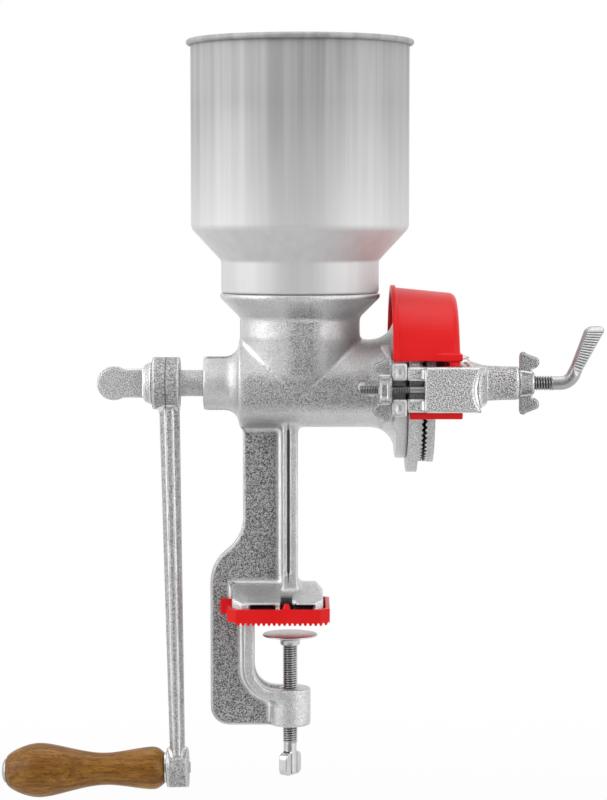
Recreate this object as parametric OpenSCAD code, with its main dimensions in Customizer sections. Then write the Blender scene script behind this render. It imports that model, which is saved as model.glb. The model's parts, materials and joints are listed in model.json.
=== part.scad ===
// Hand grain mill: a cast mill on a table clamp, with a sheet hopper, a crank and two toothed discs.
// The origin is in the middle of the jaw pad's underside, on the axis of the clamp screw.
// +X runs along the shaft toward the discs, +Z is up, and the crank hangs down at rest.

/* [Hopper] */
// Outside diameter of the hopper
hopper_d = 141; // [120:1:160]
// Height of the straight hopper wall
hopper_h = 119; // [60:1:180]
// Outside diameter of the hopper's neck
neck_d = 102; // [92:1:110]
// Height of the neck
neck_h = 20.8; // [12:0.5:40]
// Height of the cone between neck and wall
cone_h = 21; // [14:0.5:40]
// Thickness of the hopper sheet
sheet_t = 0.8; // [0.6:0.1:1.5]
// Diameter of the rolled rim bead
rim_bead_d = 3.8; // [2.5:0.1:5]

/* [Cup and throat] */
// Height of the cup's lip above the shaft axis
cup_rise = 58.7; // [54:0.5:75]
// Height of the cup's lip band
lip_h = 2.8; // [2:0.1:5]
// Outside diameter of the throat
throat_d = 77.6; // [66:0.5:84]
// Wall thickness of the casting
wall = 4.2; // [3:0.1:6]
// Distance of the throat axis from the clamp screw axis, along the shaft
throat_x = 6.5; // [0:0.5:12]

/* [Barrel] */
// Height of the shaft axis above the jaw pad's underside
shaft_z = 154.3; // [140:0.5:190]
// Outside diameter of the barrel
barrel_d = 57; // [50:0.5:64]
// Length of the barrel from its rear wall to the flange face
barrel_len = 108.2; // [100:0.5:130]
// Distance of the rear wall behind the clamp screw axis
barrel_back = 33; // [31:0.5:38]
// Diameter of the barrel's end flange
flange_d = 97; // [90:0.5:102]
// Thickness of the barrel's end flange
flange_t = 7.5; // [5:0.5:10]
// Outside diameter of the shaft sleeve
sleeve_d = 34.8; // [28:0.2:40]
// Length of the shaft sleeve
sleeve_len = 23; // [16:0.5:32]

/* [Frame and clamp] */
// Thickness of the frame's web
web_t = 8; // [6:0.5:12]
// Width of the rib along the frame's inner edge, across the web
rib_w = 27; // [20:0.5:30]
// Thickness of that rib
rib_t = 7; // [5:0.5:9]
// Width of the frame column, edge to edge along the shaft
column_w = 35.8; // [30:0.5:42]
// Depth of the clamp's throat, from the screw axis to the inner edge
clamp_reach = 23.3; // [21:0.5:32]
// Width of the clamp's back, along the shaft
clamp_back_w = 28.7; // [24:0.5:36]
// Depth of the clamp opening below the jaw pad
clamp_drop = 45.3; // [40:0.5:70]
// Diameter of the screw boss
boss_d = 27; // [22:0.5:32]
// Height of the screw boss
boss_h = 24.5; // [18:0.5:32]
// Length of the jaw plate, along the shaft
jaw_len = 59; // [56:0.5:70]
// Width of the jaw plate, across the shaft
jaw_w = 56; // [48:0.5:66]
// Height of the jaw plate's edge
jaw_edge_h = 10; // [8:0.5:14]
// Height of the roof on the jaw plate, edge to ridge
jaw_roof_h = 10.5; // [6:0.5:14]

/* [Table pad] */
// Wall thickness of the pad
pad_wall = 2.8; // [2:0.1:4]
// Height of the pad's wall above its rib tips
pad_h = 10.5; // [9:0.5:12]
// Thickness of the pad's floor
pad_floor = 2; // [1.5:0.1:3]
// Height of the pad's ribs
pad_rib_h = 2; // [1:0.1:3]
// Number of ribs under the pad
pad_ribs = 19; // [11:2:23]

/* [Clamp screw] */
// Outside diameter of the clamp screw
screw_d = 10; // [8:0.5:12]
// Length of the clamp screw from the disc to its head
screw_len = 74; // [70:1:100]
// Width of the clamp screw's flattened head
screw_head_w = 17; // [14:0.5:24]
// Height of the clamp screw's flattened head
screw_head_h = 15; // [12:0.5:24]
// Diameter of the swivel disc
clamp_disc_d = 36; // [26:0.5:42]
// Distance from the jaw pad to the swivel disc at rest
clamp_gap = 10; // [5:0.5:20]

/* [Auger] */
// Diameter of the auger's shaft in the sleeve
shaft_d = 17; // [14:0.5:20]
// Pitch of the auger's flight
flight_pitch = 32; // [24:1:40]
// Diameter of the auger's root inside the barrel
root_d = 19; // [16:0.5:24]
// Clearance between the flight and the barrel's bore
flight_gap = 0.6; // [0.4:0.1:1.5]
// Width of the square on the auger's crank end
square_w = 12; // [10:0.5:12]
// Diameter of the auger's journal in the bridge
journal_d = 13; // [12:0.5:15]

/* [Discs] */
// Diameter of the stationary disc
disc_d = 115; // [108:0.5:118]
// Diameter of the rotating disc and of both toothed rings
ring_d = 102; // [90:0.5:104]
// Thickness of the stationary disc
disc_t = 6.5; // [5:0.5:9]
// Thickness of the rotating disc
rotor_t = 3; // [2.5:0.1:6]
// Height of the toothed ring's body
ring_t = 1.6; // [1.2:0.1:3]
// Height of the teeth
tooth_h = 1.7; // [1:0.1:2]
// Number of teeth on each disc
teeth = 72; // [40:4:84]
// Gap between the tooth tips at rest
grind_gap = 0.9; // [0.8:0.1:2]
// Diameter of the stationary disc's central hole
disc_bore_d = 40; // [34:0.5:48]

/* [Bridge] */
// Distance of each arm bolt from the shaft axis
bolt_y = 62.3; // [61.5:0.1:68]
// Diameter of the bridge bolts
bolt_d = 5.6; // [5:0.1:6]
// Height of the bridge's arms
arm_h = 28.4; // [24:0.4:34]
// Distance from the disc to the inner face of the bridge
bridge_reach = 19.8; // [19.2:0.2:30]
// Thickness of the bridge's cross bar, along the shaft
bar_t = 15; // [12:0.5:20]
// Diameter of the bridge's boss
bridge_boss_d = 21.6; // [20:0.2:28]
// Length of the bridge's boss beyond the bar
bridge_boss_l = 21.5; // [14:0.5:30]
// Width of the fork slots in arms and ears
fork_slot = 11.2; // [8:0.2:13]

/* [Adjusting screw] */
// Outside diameter of the adjusting screw
adjuster_d = 10; // [8:0.5:11]
// Length of the adjusting screw outside the bridge's boss
adjuster_out = 33; // [30:0.5:42]
// Length of the adjusting screw's lever
lever_l = 42; // [28:1:50]
// Width of the lever at its end
lever_w = 13; // [10:0.5:18]
// Lean of the lever from square to the screw
lever_lean = 25; // [0:1:35]

/* [Wing nuts] */
// Span of the bridge's wing nuts
wing_span = 40; // [30:0.5:42]
// Length of the bridge's wing nuts along the bolt
wing_nut_l = 8.5; // [7:0.5:11]
// Span of the adjusting screw's lock nut
lock_span = 41; // [32:0.5:50]
// Length of the lock nut along the screw
lock_l = 10; // [9:0.5:13]

/* [Guard] */
// Radial room between the stationary disc's edge and the guard's open end
guard_room = 3; // [2.5:0.1:5]
// Narrowing of the guard's radius toward its closed end
guard_taper = 3.7; // [1:0.1:4]
// Length of the guard
guard_len = 42.5; // [41:0.5:46]
// Wall thickness of the guard
guard_t = 2; // [1.5:0.1:2.5]
// Height of the lip along the guard's windows
guard_lip = 4.5; // [3:0.1:6]

/* [Crank] */
// Distance between the crank's two axes
crank_throw = 253; // [180:1:300]
// Diameter of the crank's upper hub
hub_d = 34; // [28:0.5:38]
// Length of the crank's upper hub
hub_l = 18; // [14:0.5:24]
// Diameter of the crank's lower hub
lower_hub_d = 25.8; // [22:0.2:30]
// Length of the crank's lower hub
lower_hub_l = 14.5; // [12:0.5:18]
// Width of the crank arm, across the shaft
arm_w = 20; // [16:0.5:24]
// Thickness of the crank arm at its upper end
arm_t = 13; // [10:0.5:14]
// Thickness of the crank arm at its lower end
arm_t_low = 9.6; // [8:0.2:12]
// Lean of the crank arm and of the grip's axis
crank_lean = 1.1; // [0:0.1:1.5]
// Length of the shaft between sleeve and crank hub
shaft_show = 15.3; // [12:0.1:24]

/* [Grip] */
// Length of the wooden grip
grip_l = 103.5; // [80:0.5:130]
// Largest diameter of the grip
grip_d = 35.4; // [28:0.2:40]
// Diameter of the rivet through the grip
rivet_d = 8; // [6:0.5:9]
// Diameter of the rivet's domed head
rivet_head_d = 16; // [12:0.5:20]

/* [Hidden] */
// Every part of the mill, one name for each

// Overrun of every cut beyond the material it cuts
over = 1;
// Radial running clearance of shafts and screws in their holes
run_gap = 0.08;
// Gap between pieces that touch face to face on different bodies
seat_gap = 0.1;
// Gap between curved pieces of different bodies
free_gap = 0.3;

// Colours
tin = [0.74, 0.74, 0.74];
sheet = [0.80, 0.80, 0.80];
steel = [0.66, 0.67, 0.69];
red = [0.87, 0.12, 0.14];
wood = [0.50, 0.31, 0.15];

// Places along the shaft
barrel_x = -barrel_back;
face_x = barrel_x + barrel_len;
flange_x = face_x - flange_t;
sleeve_x = barrel_x - sleeve_len;
hub_x = sleeve_x - shaft_show;
ring_x = face_x + disc_t;
mesh_x = ring_x + ring_t;
rotor_tip_x = mesh_x + tooth_h + grind_gap;
rotor_x = rotor_tip_x + ring_t + tooth_h;
rotor_back_x = rotor_x + rotor_t;
bar_x = rotor_back_x + bridge_reach;
bar_end_x = bar_x + bar_t;
boss_end_x = bar_end_x + bridge_boss_l;

// Cup, throat and barrel
neck_r = neck_d / 2;
lip_over = 0.9;
lip_r = neck_r + lip_over;
throat_r = throat_d / 2;
cup_slope_h = lip_r - throat_r;
cup_z = shaft_z + cup_rise;
lip_z = cup_z - lip_h;
cup_low_z = lip_z - cup_slope_h;
barrel_r = barrel_d / 2;
bore_r = barrel_r - wall;
flange_r = flange_d / 2;
bell_h = 15.5;
sleeve_r = sleeve_d / 2;
sleeve_flare = 9;
shaft_r = shaft_d / 2;
throat_cone_top = barrel_r + 2;
throat_cone_end_share = 0.95;

// Ears
fork_wall = 11;
ear_t = 9.5;
ear_gap = 1.7;
ear_top = fork_slot / 2 + fork_wall;
ear_x = face_x - ear_gap - ear_t;
ear_out = bolt_y + 4.5;
fork_floor = 3.6;
ear_frame = 2.1;
ear_pocket = 1;
gusset_t = 2.6;
gusset_l = 7;
gusset_h = 9;
gusset_in_y = 37;
gusset_out_y = 52;

// Frame
web_y = web_t / 2;
column_right = 5.2;
column_x = column_right - column_w;
clamp_x = -clamp_reach;
back_x = clamp_x - clamp_back_w;
clamp_r = 14;
clamp_z = -clamp_drop;
back_z = clamp_z - boss_h;
back_corner_r = 12;
jaw_z = pad_floor + pad_rib_h;
jaw_end_x = 21.5;
jaw_x = jaw_end_x - jaw_len;
jaw_edge_z = jaw_z + jaw_edge_h;
jaw_ridge_z = jaw_edge_z + jaw_roof_h;
jaw_corner = 6;
flare_low_z = jaw_edge_z + jaw_roof_h;
flare_h = 42;
boss_r = boss_d / 2;
notch_w = 8;
notch_h = 6;
recess_l = 22;
recess_h = 3.4;
recess_d = 2;
recess_x = 15.5;

// Hopper
foot_h = 4;
hopper_bend_r = 8;
bend_steps = 2;

// Table pad
pad_end = 1.5;
rib_gap = 0.3;
rib_tip_share = 0.34;
tab_l = 7.5;
tab_h = 10;
tab_t = 2;

// Clamp screw and disc
screw_r = screw_d / 2;
clamp_disc_r = clamp_disc_d / 2;
clamp_rim_t = 1.2;
clamp_cone_h = 3;
clamp_hub_r = screw_r + 1.6;
clamp_hub_h = 3;
clamp_top_z = -clamp_gap;
screw_tip_z = clamp_top_z - clamp_rim_t - clamp_cone_h;
screw_shoulder_z = screw_tip_z - clamp_hub_h;
screw_neck_r = screw_r - 1.2;
screw_head_z = screw_tip_z - screw_len;
screw_plain_r = screw_r - 0.7;
screw_head_t = 6.5;
screw_head_turn = 55;
screw_lobe_r = 4;

// Auger
journal_r = journal_d / 2;
root_r = root_d / 2;
flight_r = bore_r - flight_gap;
collar_t = 2.6;
collar_gap = 2;
collar_x = barrel_x + wall + collar_gap;
collar_r = root_r + 3;
flight_x = collar_x + collar_t;
flight_short = 4;
flight_end_x = face_x - flight_short;
flight_steps = 14;
flight_root_w = 7;
flight_tip_w = 3.4;
flight_root_in = 1.2;
square_l = hub_l - 1.5;
rotor_seat_r = 12;
rotor_seat_x = rotor_tip_x - 3;
journal_x = rotor_back_x + 8;
ball_d = journal_d - 3;
ball_r = ball_d / 2;
journal_end_x = bar_x + 13.5;
ball_x = journal_end_x + seat_gap + ball_r;
adjuster_tip_x = ball_x + ball_r + seat_gap;
journal_bore_r = journal_r + run_gap;
journal_bore_end = adjuster_tip_x + 1.5;

// Discs
disc_r = disc_d / 2;
ring_r = ring_d / 2;
ring_in_r = 27;
ring_embed = 0.4;
disc_bore_r = disc_bore_d / 2;
rotor_hub_r = 17;
rotor_hub_l = 8;
disc_pin_d = 4;
disc_pin_r = 44;
disc_pin_in = 4;
drive_pin_d = 4.5;
drive_pin_x = rotor_back_x + rotor_hub_l / 2;

// Guard
guard_overlap = 10.2;
guard_x = face_x - guard_overlap;
guard_end_x = guard_x + guard_len;
guard_r = disc_r + guard_room + guard_t;
guard_end_r = guard_r - guard_taper;
guard_round = 5;
guard_bead = 1.3;
guard_bead_w = 3;
window_gap = 0.8;
window_top = ear_top + window_gap;
window_low = arm_h / 2 + window_gap / 2;
guard_hole_r = rotor_hub_r + 3;

// Bridge
arm_in = guard_r - guard_taper + 2 * free_gap;
arm_out = bolt_y + 6.7;
lug_out = bolt_y + 3.7;
lug_l = 10.8;
arm_x = ear_x + ear_t;
block_x = arm_x + lug_l;
arm_end_x = bar_end_x - 6.5;
arm_half = arm_h / 2;
waist_depth = 5.5;
bar_half = bridge_boss_d / 2;
bridge_boss_r = bridge_boss_d / 2;
bar_out = arm_out - 5;
bar_bow = 8;
arm_shoulder = 5;
bow_steps = 8;
boss_swell = 0.8;
head_w = 10;
head_t = 4.5;
head_fit = 0.3;
bolt_r = bolt_d / 2;
bolt_tail = 20;

// Adjusting screw and wing nuts
adjuster_r = adjuster_d / 2;
adjuster_neck_r = adjuster_r - 0.4;
adjuster_bend_r = 9.3;
lever_t = 4;
lever_turn = 28;
lever_corner_r = 2.8;
lever_foot_share = 0.54;
lever_slant_share = 0.42;
lever_flat_l = 7;
nut_hub_r = 8.4;
nut_tip_r = 7;
nut_block_h = 17;
nut_block_w = 12;
nut_foot_t = 1.4;
nut_recess_h = 10.5;
nut_recess_t = 1;
nut_recess_z = 2.2;
wing_t = 4.5;
lock_wing_t = 5;
wing_lobe_r = 4.2;
wing_lobe_l = 3.3;
wing_lobe_share = 0.67;
wing_foot_r = 2.4;
wing_lift = 0.3;
wing_neck = 1.2;

// Crank and grip
hub_r = hub_d / 2;
hub_end_x = hub_x - hub_l;
lower_hub_r = lower_hub_d / 2;
arm_inset = 0.8;
arm_x_top = hub_x - arm_inset - arm_t / 2;
grip_axis_z = shaft_z - crank_throw;
beam_flat_share = 0.4;
beam_edge_share = 0.2;
lower_hub_x = arm_x_top + crank_throw * tan(crank_lean);
square_fit = 0.2;
washer_t = 1.2;
washer_r = 10;
rivet_r = rivet_d / 2;
rivet_head_r = rivet_head_d / 2;
rivet_head_h = 3.4;
rivet_tail_h = 1.2;
grip_r = grip_d / 2;
grip_start = lower_hub_l / 2 + washer_t + seat_gap;
thumb_flange_r = 14.2;
thumb_flange_t = 5.4;
thumb_l = 30.5;
thumb_w = 22;
thumb_t = 7;
thumb_stem_r = 4;
thumb_stem_l = 12;

// Shares of the grip's length and largest radius, from the crank end to the rivet head
grip_shares = [
    [0, 0.60], [0.035, 0.72], [0.10, 0.80], [0.20, 0.735], [0.30, 0.66],
    [0.40, 0.62], [0.50, 0.63], [0.60, 0.71], [0.69, 0.84], [0.78, 0.96],
    [0.85, 1.0], [0.91, 0.975], [0.96, 0.86], [0.99, 0.68], [1, 0.55]
];

// Points of a circular arc in a plane, for outlines
function arc(x, y, r, a, b, n = 5) =
    [for (i = [0:n]) [x + r * cos(a + (b - a) * i / n), y + r * sin(a + (b - a) * i / n)]];

// Puts its child's +Z along the shaft, at a place on the shaft's axis
module on_shaft(x) { translate([x, 0, shaft_z]) rotate([0, 90, 0]) children(); }

// Turns a drawing in the XZ plane into a slab of a given thickness across the shaft, centred on it
module slab(t) { rotate([90, 0, 0]) linear_extrude(height = t, center = true) children(); }

// Puts its child's +Z along the grip's axis, away from the mill
module on_grip() {
    translate([lower_hub_x, 0, grip_axis_z]) rotate([0, -90 - crank_lean, 0]) children();
}

// Casting

// Outside of cup and throat
module throat_outside() {
    cone_r = barrel_r * throat_cone_end_share;
    cone_z = shaft_z - sqrt(pow(barrel_r, 2) - pow(cone_r, 2));
    translate([throat_x, 0, 0]) rotate_extrude() polygon([
        [0, cup_z], [lip_r, cup_z], [lip_r, lip_z], [throat_r, cup_low_z],
        [throat_r, shaft_z + throat_cone_top], [cone_r, cone_z], [0, cone_z]
    ]);
}

// Inside of cup and throat, down to the barrel's axis
module throat_inside() {
    in_r = throat_r - wall;
    slope = wall * sqrt(2);
    translate([throat_x, 0, 0]) rotate_extrude() polygon([
        [0, cup_z + over], [lip_r - slope + over, cup_z + over], [lip_r - slope, cup_z],
        [in_r, cup_z - (lip_r - slope - in_r)], [in_r, shaft_z + throat_cone_top],
        [bore_r, shaft_z], [0, shaft_z]
    ]);
}

// Barrel with its bell flange and the flared shaft sleeve, as one turned profile along the shaft
module barrel_outside() {
    on_shaft(0) rotate_extrude() polygon(concat(
        [[0, sleeve_x], [sleeve_r, sleeve_x]],
        arc(sleeve_r + sleeve_flare, barrel_x - sleeve_flare, sleeve_flare, 180, 90),
        [[barrel_r, barrel_x]],
        arc(barrel_r + bell_h, flange_x - bell_h, bell_h, 180, 90),
        [[flange_r, flange_x], [flange_r, face_x], [0, face_x]]
    ));
}

// Outline of the frame's web, from the barrel down to the clamp's foot
module web_outline() {
    shift = column_x - back_x;
    turn = 2 * atan(shift / flare_h);
    flare_r = flare_h / (2 * sin(turn));
    top_z = flare_low_z + flare_h;
    polygon(concat(
        [[column_right, shaft_z], [column_x, shaft_z], [column_x, top_z]],
        arc(column_x - flare_r, top_z, flare_r, 0, -turn),
        arc(back_x + flare_r, flare_low_z, flare_r, 180 - turn, 180),
        arc(back_x + back_corner_r, back_z + back_corner_r, back_corner_r, 180, 270),
        [[0, back_z], [0, clamp_z]],
        arc(clamp_x + clamp_r, clamp_z + clamp_r, clamp_r, 270, 180),
        [[clamp_x, jaw_edge_z], [column_right, jaw_edge_z]]
    ));
}

// Outline of the rib that follows the frame's inner edge
module rib_outline() {
    translate([column_right - rib_t - 3, jaw_edge_z]) square([rib_t + 3, shaft_z - jaw_edge_z]);
    polygon(concat(
        [[0, clamp_z - rib_t], [0, clamp_z]],
        arc(clamp_x + clamp_r, clamp_z + clamp_r, clamp_r, 270, 180),
        [[clamp_x, jaw_edge_z], [clamp_x - rib_t, jaw_edge_z]],
        arc(clamp_x + clamp_r, clamp_z + clamp_r, clamp_r + rib_t, 180, 270)
    ));
}

// Jaw plate with its roof, chamfered corners, the notch and the two recesses in each long edge
module jaw_plate() {
    difference() {
        intersection() {
            translate([jaw_x, 0, 0]) rotate([90, 0, 90]) linear_extrude(height = jaw_len) polygon([
                [-jaw_w / 2, jaw_z], [jaw_w / 2, jaw_z], [jaw_w / 2, jaw_edge_z],
                [rib_w / 8, jaw_ridge_z], [-rib_w / 8, jaw_ridge_z], [-jaw_w / 2, jaw_edge_z]
            ]);
            linear_extrude(height = jaw_ridge_z + over) jaw_plan();
        }
        for (side = [-1, 1]) {
            translate([-notch_w / 2, side * jaw_w / 2 - recess_d * 2, jaw_edge_z - notch_h])
                cube([notch_w, recess_d * 4, notch_h + jaw_roof_h]);
            for (x = [-recess_x, recess_x]) {
                translate([x - recess_l / 2, side * jaw_w / 2 - recess_d, jaw_edge_z - recess_h * 1.2])
                    cube([recess_l, recess_d * 2, recess_h]);
            }
        }
    }
}

// Plan of the jaw plate
module jaw_plan() {
    half = jaw_w / 2;
    polygon([
        [jaw_x, -half + jaw_corner], [jaw_x + jaw_corner, -half], [jaw_end_x - jaw_corner, -half],
        [jaw_end_x, -half + jaw_corner], [jaw_end_x, half - jaw_corner], [jaw_end_x - jaw_corner, half],
        [jaw_x + jaw_corner, half], [jaw_x, half - jaw_corner]
    ]);
}

// Forked ear for one bridge bolt, on the side given as -1 or 1, with a pocket in the end of each prong
module ear(side) {
    inner = flange_r * 0.6;
    slot_in = bolt_y - bolt_r - fork_floor;
    difference() {
        translate([ear_x, side > 0 ? inner : -ear_out, shaft_z - ear_top])
            cube([ear_t, ear_out - inner, 2 * ear_top]);
        translate([ear_x - over, side > 0 ? slot_in : -ear_out - over, shaft_z - fork_slot / 2])
            cube([ear_t + 2 * over, ear_out + over - slot_in, fork_slot]);
        for (z = [fork_slot / 2, -ear_top]) {
            translate([ear_x + ear_frame, side * ear_out - ear_pocket, shaft_z + z + ear_frame])
                cube([ear_t - 2 * ear_frame, 2 * ear_pocket, fork_wall - 2 * ear_frame]);
        }
    }
}

// Gussets above and below one ear, from its root to the bell, clear of the turning wing nut
module ear_gussets(side) {
    for (up = [-1, 1]) hull() {
        translate([ear_x - gusset_l, side * gusset_in_y, shaft_z + up * (ear_top + gusset_h)])
            translate([0, -over / 2, -gusset_t / 2]) cube([gusset_l + over, over, gusset_t]);
        translate([ear_x, side * gusset_out_y, shaft_z + up * (ear_top - gusset_t / 2)])
            translate([0, -over / 2, -gusset_t / 2]) cube([over, over, gusset_t]);
    }
}

module mill_body() {
    color(tin) difference() {
        union() {
            throat_outside();
            barrel_outside();
            slab(web_t) web_outline();
            intersection() {
                slab(rib_w) rib_outline();
                translate([back_x, -rib_w, back_z]) cube([3 * column_w, 2 * rib_w, shaft_z - back_z]);
            }
            jaw_plate();
            translate([0, 0, back_z]) cylinder(h = boss_h, r = boss_r);
            for (side = [-1, 1]) {
                ear(side);
                ear_gussets(side);
            }
        }
        throat_inside();
        on_shaft(barrel_x + wall) cylinder(h = barrel_len, r = bore_r);
        on_shaft(sleeve_x - over) cylinder(h = sleeve_len + wall + 2 * over, r = shaft_r + run_gap);
        translate([0, 0, back_z - over]) cylinder(h = boss_h + 2 * over, r = screw_r + run_gap);
        for (side = [-1, 1]) {
            out = side * disc_pin_r * sin(45);
            translate([face_x - disc_pin_in, out, shaft_z + out])
                rotate([0, 90, 0]) cylinder(h = disc_pin_in + over, r = disc_pin_d / 2);
        }
    }
}

// Hopper: a spun sheet with a foot, a neck, a cone with rounded bends and a straight wall, under a rolled rim
module hopper() {
    wall_z = cup_z + neck_h + cone_h;
    top_z = wall_z + hopper_h;
    out_r = hopper_d / 2;
    in_r = out_r - sheet_t;
    foot_r = lip_r - wall * sqrt(2) - free_gap;
    seat_z = cup_z + seat_gap;
    bead_r = rim_bead_d / 2;
    lean = atan((out_r - neck_r) / cone_h);
    // Distance from each corner of the profile to the start of its bend
    reach = hopper_bend_r * tan(lean / 2);
    low_x = neck_r + hopper_bend_r;
    low_z = cup_z + neck_h - reach;
    high_x = out_r - hopper_bend_r;
    high_z = wall_z + reach;
    color(sheet) translate([throat_x, 0, 0]) {
        rotate_extrude() polygon(concat(
            [[foot_r - foot_h, cup_z - foot_h], [foot_r, seat_z], [neck_r, seat_z]],
            arc(low_x, low_z, hopper_bend_r, 180, 180 - lean, bend_steps),
            arc(high_x, high_z, hopper_bend_r, -lean, 0, bend_steps),
            [[out_r, top_z], [in_r, top_z]],
            arc(high_x, high_z, hopper_bend_r - sheet_t, 0, -lean, bend_steps),
            arc(low_x, low_z, hopper_bend_r + sheet_t, 180 - lean, 180, bend_steps),
            [[neck_r - sheet_t, seat_z + sheet_t], [foot_r - sheet_t, seat_z + sheet_t],
                [foot_r - foot_h - sheet_t, cup_z - foot_h]]
        ));
        translate([0, 0, top_z]) rotate_extrude()
            translate([out_r + bead_r - sheet_t, 0]) circle(r = bead_r);
    }
}

// Table pad: a tray under the jaw plate, open at the back for the frame
module table_pad() {
    half = jaw_w / 2 + rib_gap + pad_wall;
    inner_half = jaw_w / 2 + rib_gap;
    end_x = jaw_end_x + pad_end + pad_wall;
    slot_x = clamp_x + 2 * free_gap;
    pitch = (end_x - jaw_x) / pad_ribs;
    color(red) {
        difference() {
            union() {
                translate([0, 0, pad_rib_h]) linear_extrude(height = pad_h - pad_rib_h) pad_plan(half, end_x);
                intersection() {
                    for (i = [-(pad_ribs - 1) / 2 - 1:(pad_ribs - 1) / 2]) {
                        translate([i * pitch, 0, 0]) slab(2 * half) polygon([
                            [-pitch * rib_tip_share / 2, 0], [pitch * rib_tip_share / 2, 0],
                            [pitch / 2, pad_rib_h + over / 2], [-pitch / 2, pad_rib_h + over / 2]
                        ]);
                    }
                    linear_extrude(height = pad_h) pad_plan(half, end_x);
                }
            }
            translate([0, 0, jaw_z]) linear_extrude(height = pad_h)
                pad_plan(inner_half, jaw_end_x + pad_end);
            translate([jaw_x - pad_wall - over, -rib_w / 2 - rib_gap, -over])
                cube([slot_x - jaw_x + pad_wall + over, rib_w + 2 * rib_gap, pad_h + 2 * over]);
        }
        for (side = [-1, 1]) {
            translate([jaw_x - rib_gap - tab_l, side > 0 ? web_y + rib_gap : -web_y - rib_gap - tab_t, jaw_z])
                cube([tab_l, tab_t, tab_h]);
            translate([jaw_x - pad_wall - rib_gap, side > 0 ? web_y + rib_gap : -rib_w / 2 - over, jaw_z])
                cube([pad_wall, rib_w / 2 + over - web_y - rib_gap, tab_h - jaw_z]);
        }
    }
}

// Plan of the pad, for a given half width and end
module pad_plan(half, end_x) {
    back = jaw_x - rib_gap - (half - jaw_w / 2 - rib_gap);
    polygon([
        [back, -half + jaw_corner], [back + jaw_corner, -half], [end_x - jaw_corner, -half],
        [end_x, -half + jaw_corner], [end_x, half - jaw_corner], [end_x - jaw_corner, half],
        [back + jaw_corner, half], [back, half - jaw_corner]
    ]);
}

// Clamp screw with its swivel tip and flattened head
module clamp_screw() {
    color(steel) {
        translate([0, 0, screw_head_z - over])
            cylinder(h = screw_shoulder_z - screw_head_z - free_gap + over, r = screw_r);
        translate([0, 0, screw_head_z]) cylinder(h = screw_tip_z - screw_head_z - free_gap, r = screw_neck_r);
        translate([0, 0, screw_head_z - screw_head_h / 2]) rotate([0, 0, screw_head_turn]) {
            translate([0, 0, screw_lobe_r]) cylinder(h = screw_head_h / 2, r = screw_plain_r);
            slab(screw_head_t) polygon([for (corner = [0:3], p = arc(
                (corner == 0 || corner == 3 ? 1 : -1) * (screw_head_w / 2 - screw_lobe_r),
                (corner < 2 ? 1 : -1) * (screw_head_h / 2 - screw_lobe_r),
                screw_lobe_r, corner * 90, (corner + 1) * 90, 6
            )) p]);
        }
    }
}

// Swivel disc, dished below, with a socket for the screw's tip
module clamp_disc() {
    hub_z = screw_shoulder_z - clamp_top_z;
    color(steel) translate([0, 0, clamp_top_z]) difference() {
        rotate_extrude() polygon([
            [0, 0], [clamp_disc_r, 0], [clamp_disc_r, -clamp_rim_t],
            [clamp_hub_r, -clamp_rim_t - clamp_cone_h], [clamp_hub_r, hub_z], [0, hub_z]
        ]);
        translate([0, 0, hub_z - over]) cylinder(h = clamp_hub_h + over, r = screw_neck_r + run_gap);
    }
}

// Auger: shaft, collar, helical flight, seat for the rotating disc and thrust journal
module auger() {
    color(steel) difference() {
        union() {
            on_shaft(hub_x) cylinder(h = collar_x - hub_x + over, r = shaft_r);
            on_shaft(hub_x - square_l) translate([-square_w / 2, -square_w / 2, 0])
                cube([square_w, square_w, square_l + over]);
            on_shaft(collar_x) cylinder(h = collar_t, r = collar_r);
            on_shaft(collar_x) cylinder(h = rotor_seat_x - collar_x + over, r = root_r);
            on_shaft(rotor_seat_x) cylinder(h = journal_x - rotor_seat_x, r = rotor_seat_r);
            on_shaft(journal_x - over) cylinder(h = journal_end_x - journal_x + over, r = journal_r);
            on_shaft(0) flight();
        }
        on_shaft(hub_x - square_l - over) cylinder(h = thumb_stem_l + over, r = thumb_stem_r + run_gap);
        on_shaft(drive_pin_x) rotate([90, 0, 0])
            cylinder(h = 4 * rotor_hub_r, r = drive_pin_d / 2, center = true);
    }
}

// Helical flight of the auger: a tapered ridge swept along a helix, thinned away at both ends
module flight() {
    run = flight_end_x - flight_x;
    steps = round(flight_steps * run / flight_pitch);
    low_r = root_r - flight_root_in;
    rings = [for (i = [0:steps])
        let (
            x = flight_x + flight_root_w / 2 + (run - flight_root_w) * i / steps,
            a = 360 * (x - flight_x) / flight_pitch,
            fade = min(1, 4 * i / steps, 8 * (steps - i) / steps),
            top_r = root_r + max((flight_r - root_r) * fade, over / 2)
        )
        [
            [low_r, x - flight_root_w / 2, a], [low_r, x + flight_root_w / 2, a],
            [top_r, x + flight_tip_w / 2, a], [top_r, x - flight_tip_w / 2, a]
        ]
    ];
    points = [for (ring = rings, p = ring) [p[0] * cos(p[2]), p[0] * sin(p[2]), p[1]]];
    sides = [for (i = [0:steps - 1], k = [0:3])
        let (a = 4 * i + k, b = 4 * i + (k + 1) % 4)
        each [[a, b, b + 4], [a, b + 4, a + 4]]
    ];
    last = 4 * steps;
    ends = [[0, 2, 1], [0, 3, 2], [last, last + 1, last + 2], [last, last + 2, last + 3]];
    polyhedron(points = points, faces = [for (f = concat(sides, ends)) [f[0], f[2], f[1]]]);
}

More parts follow.
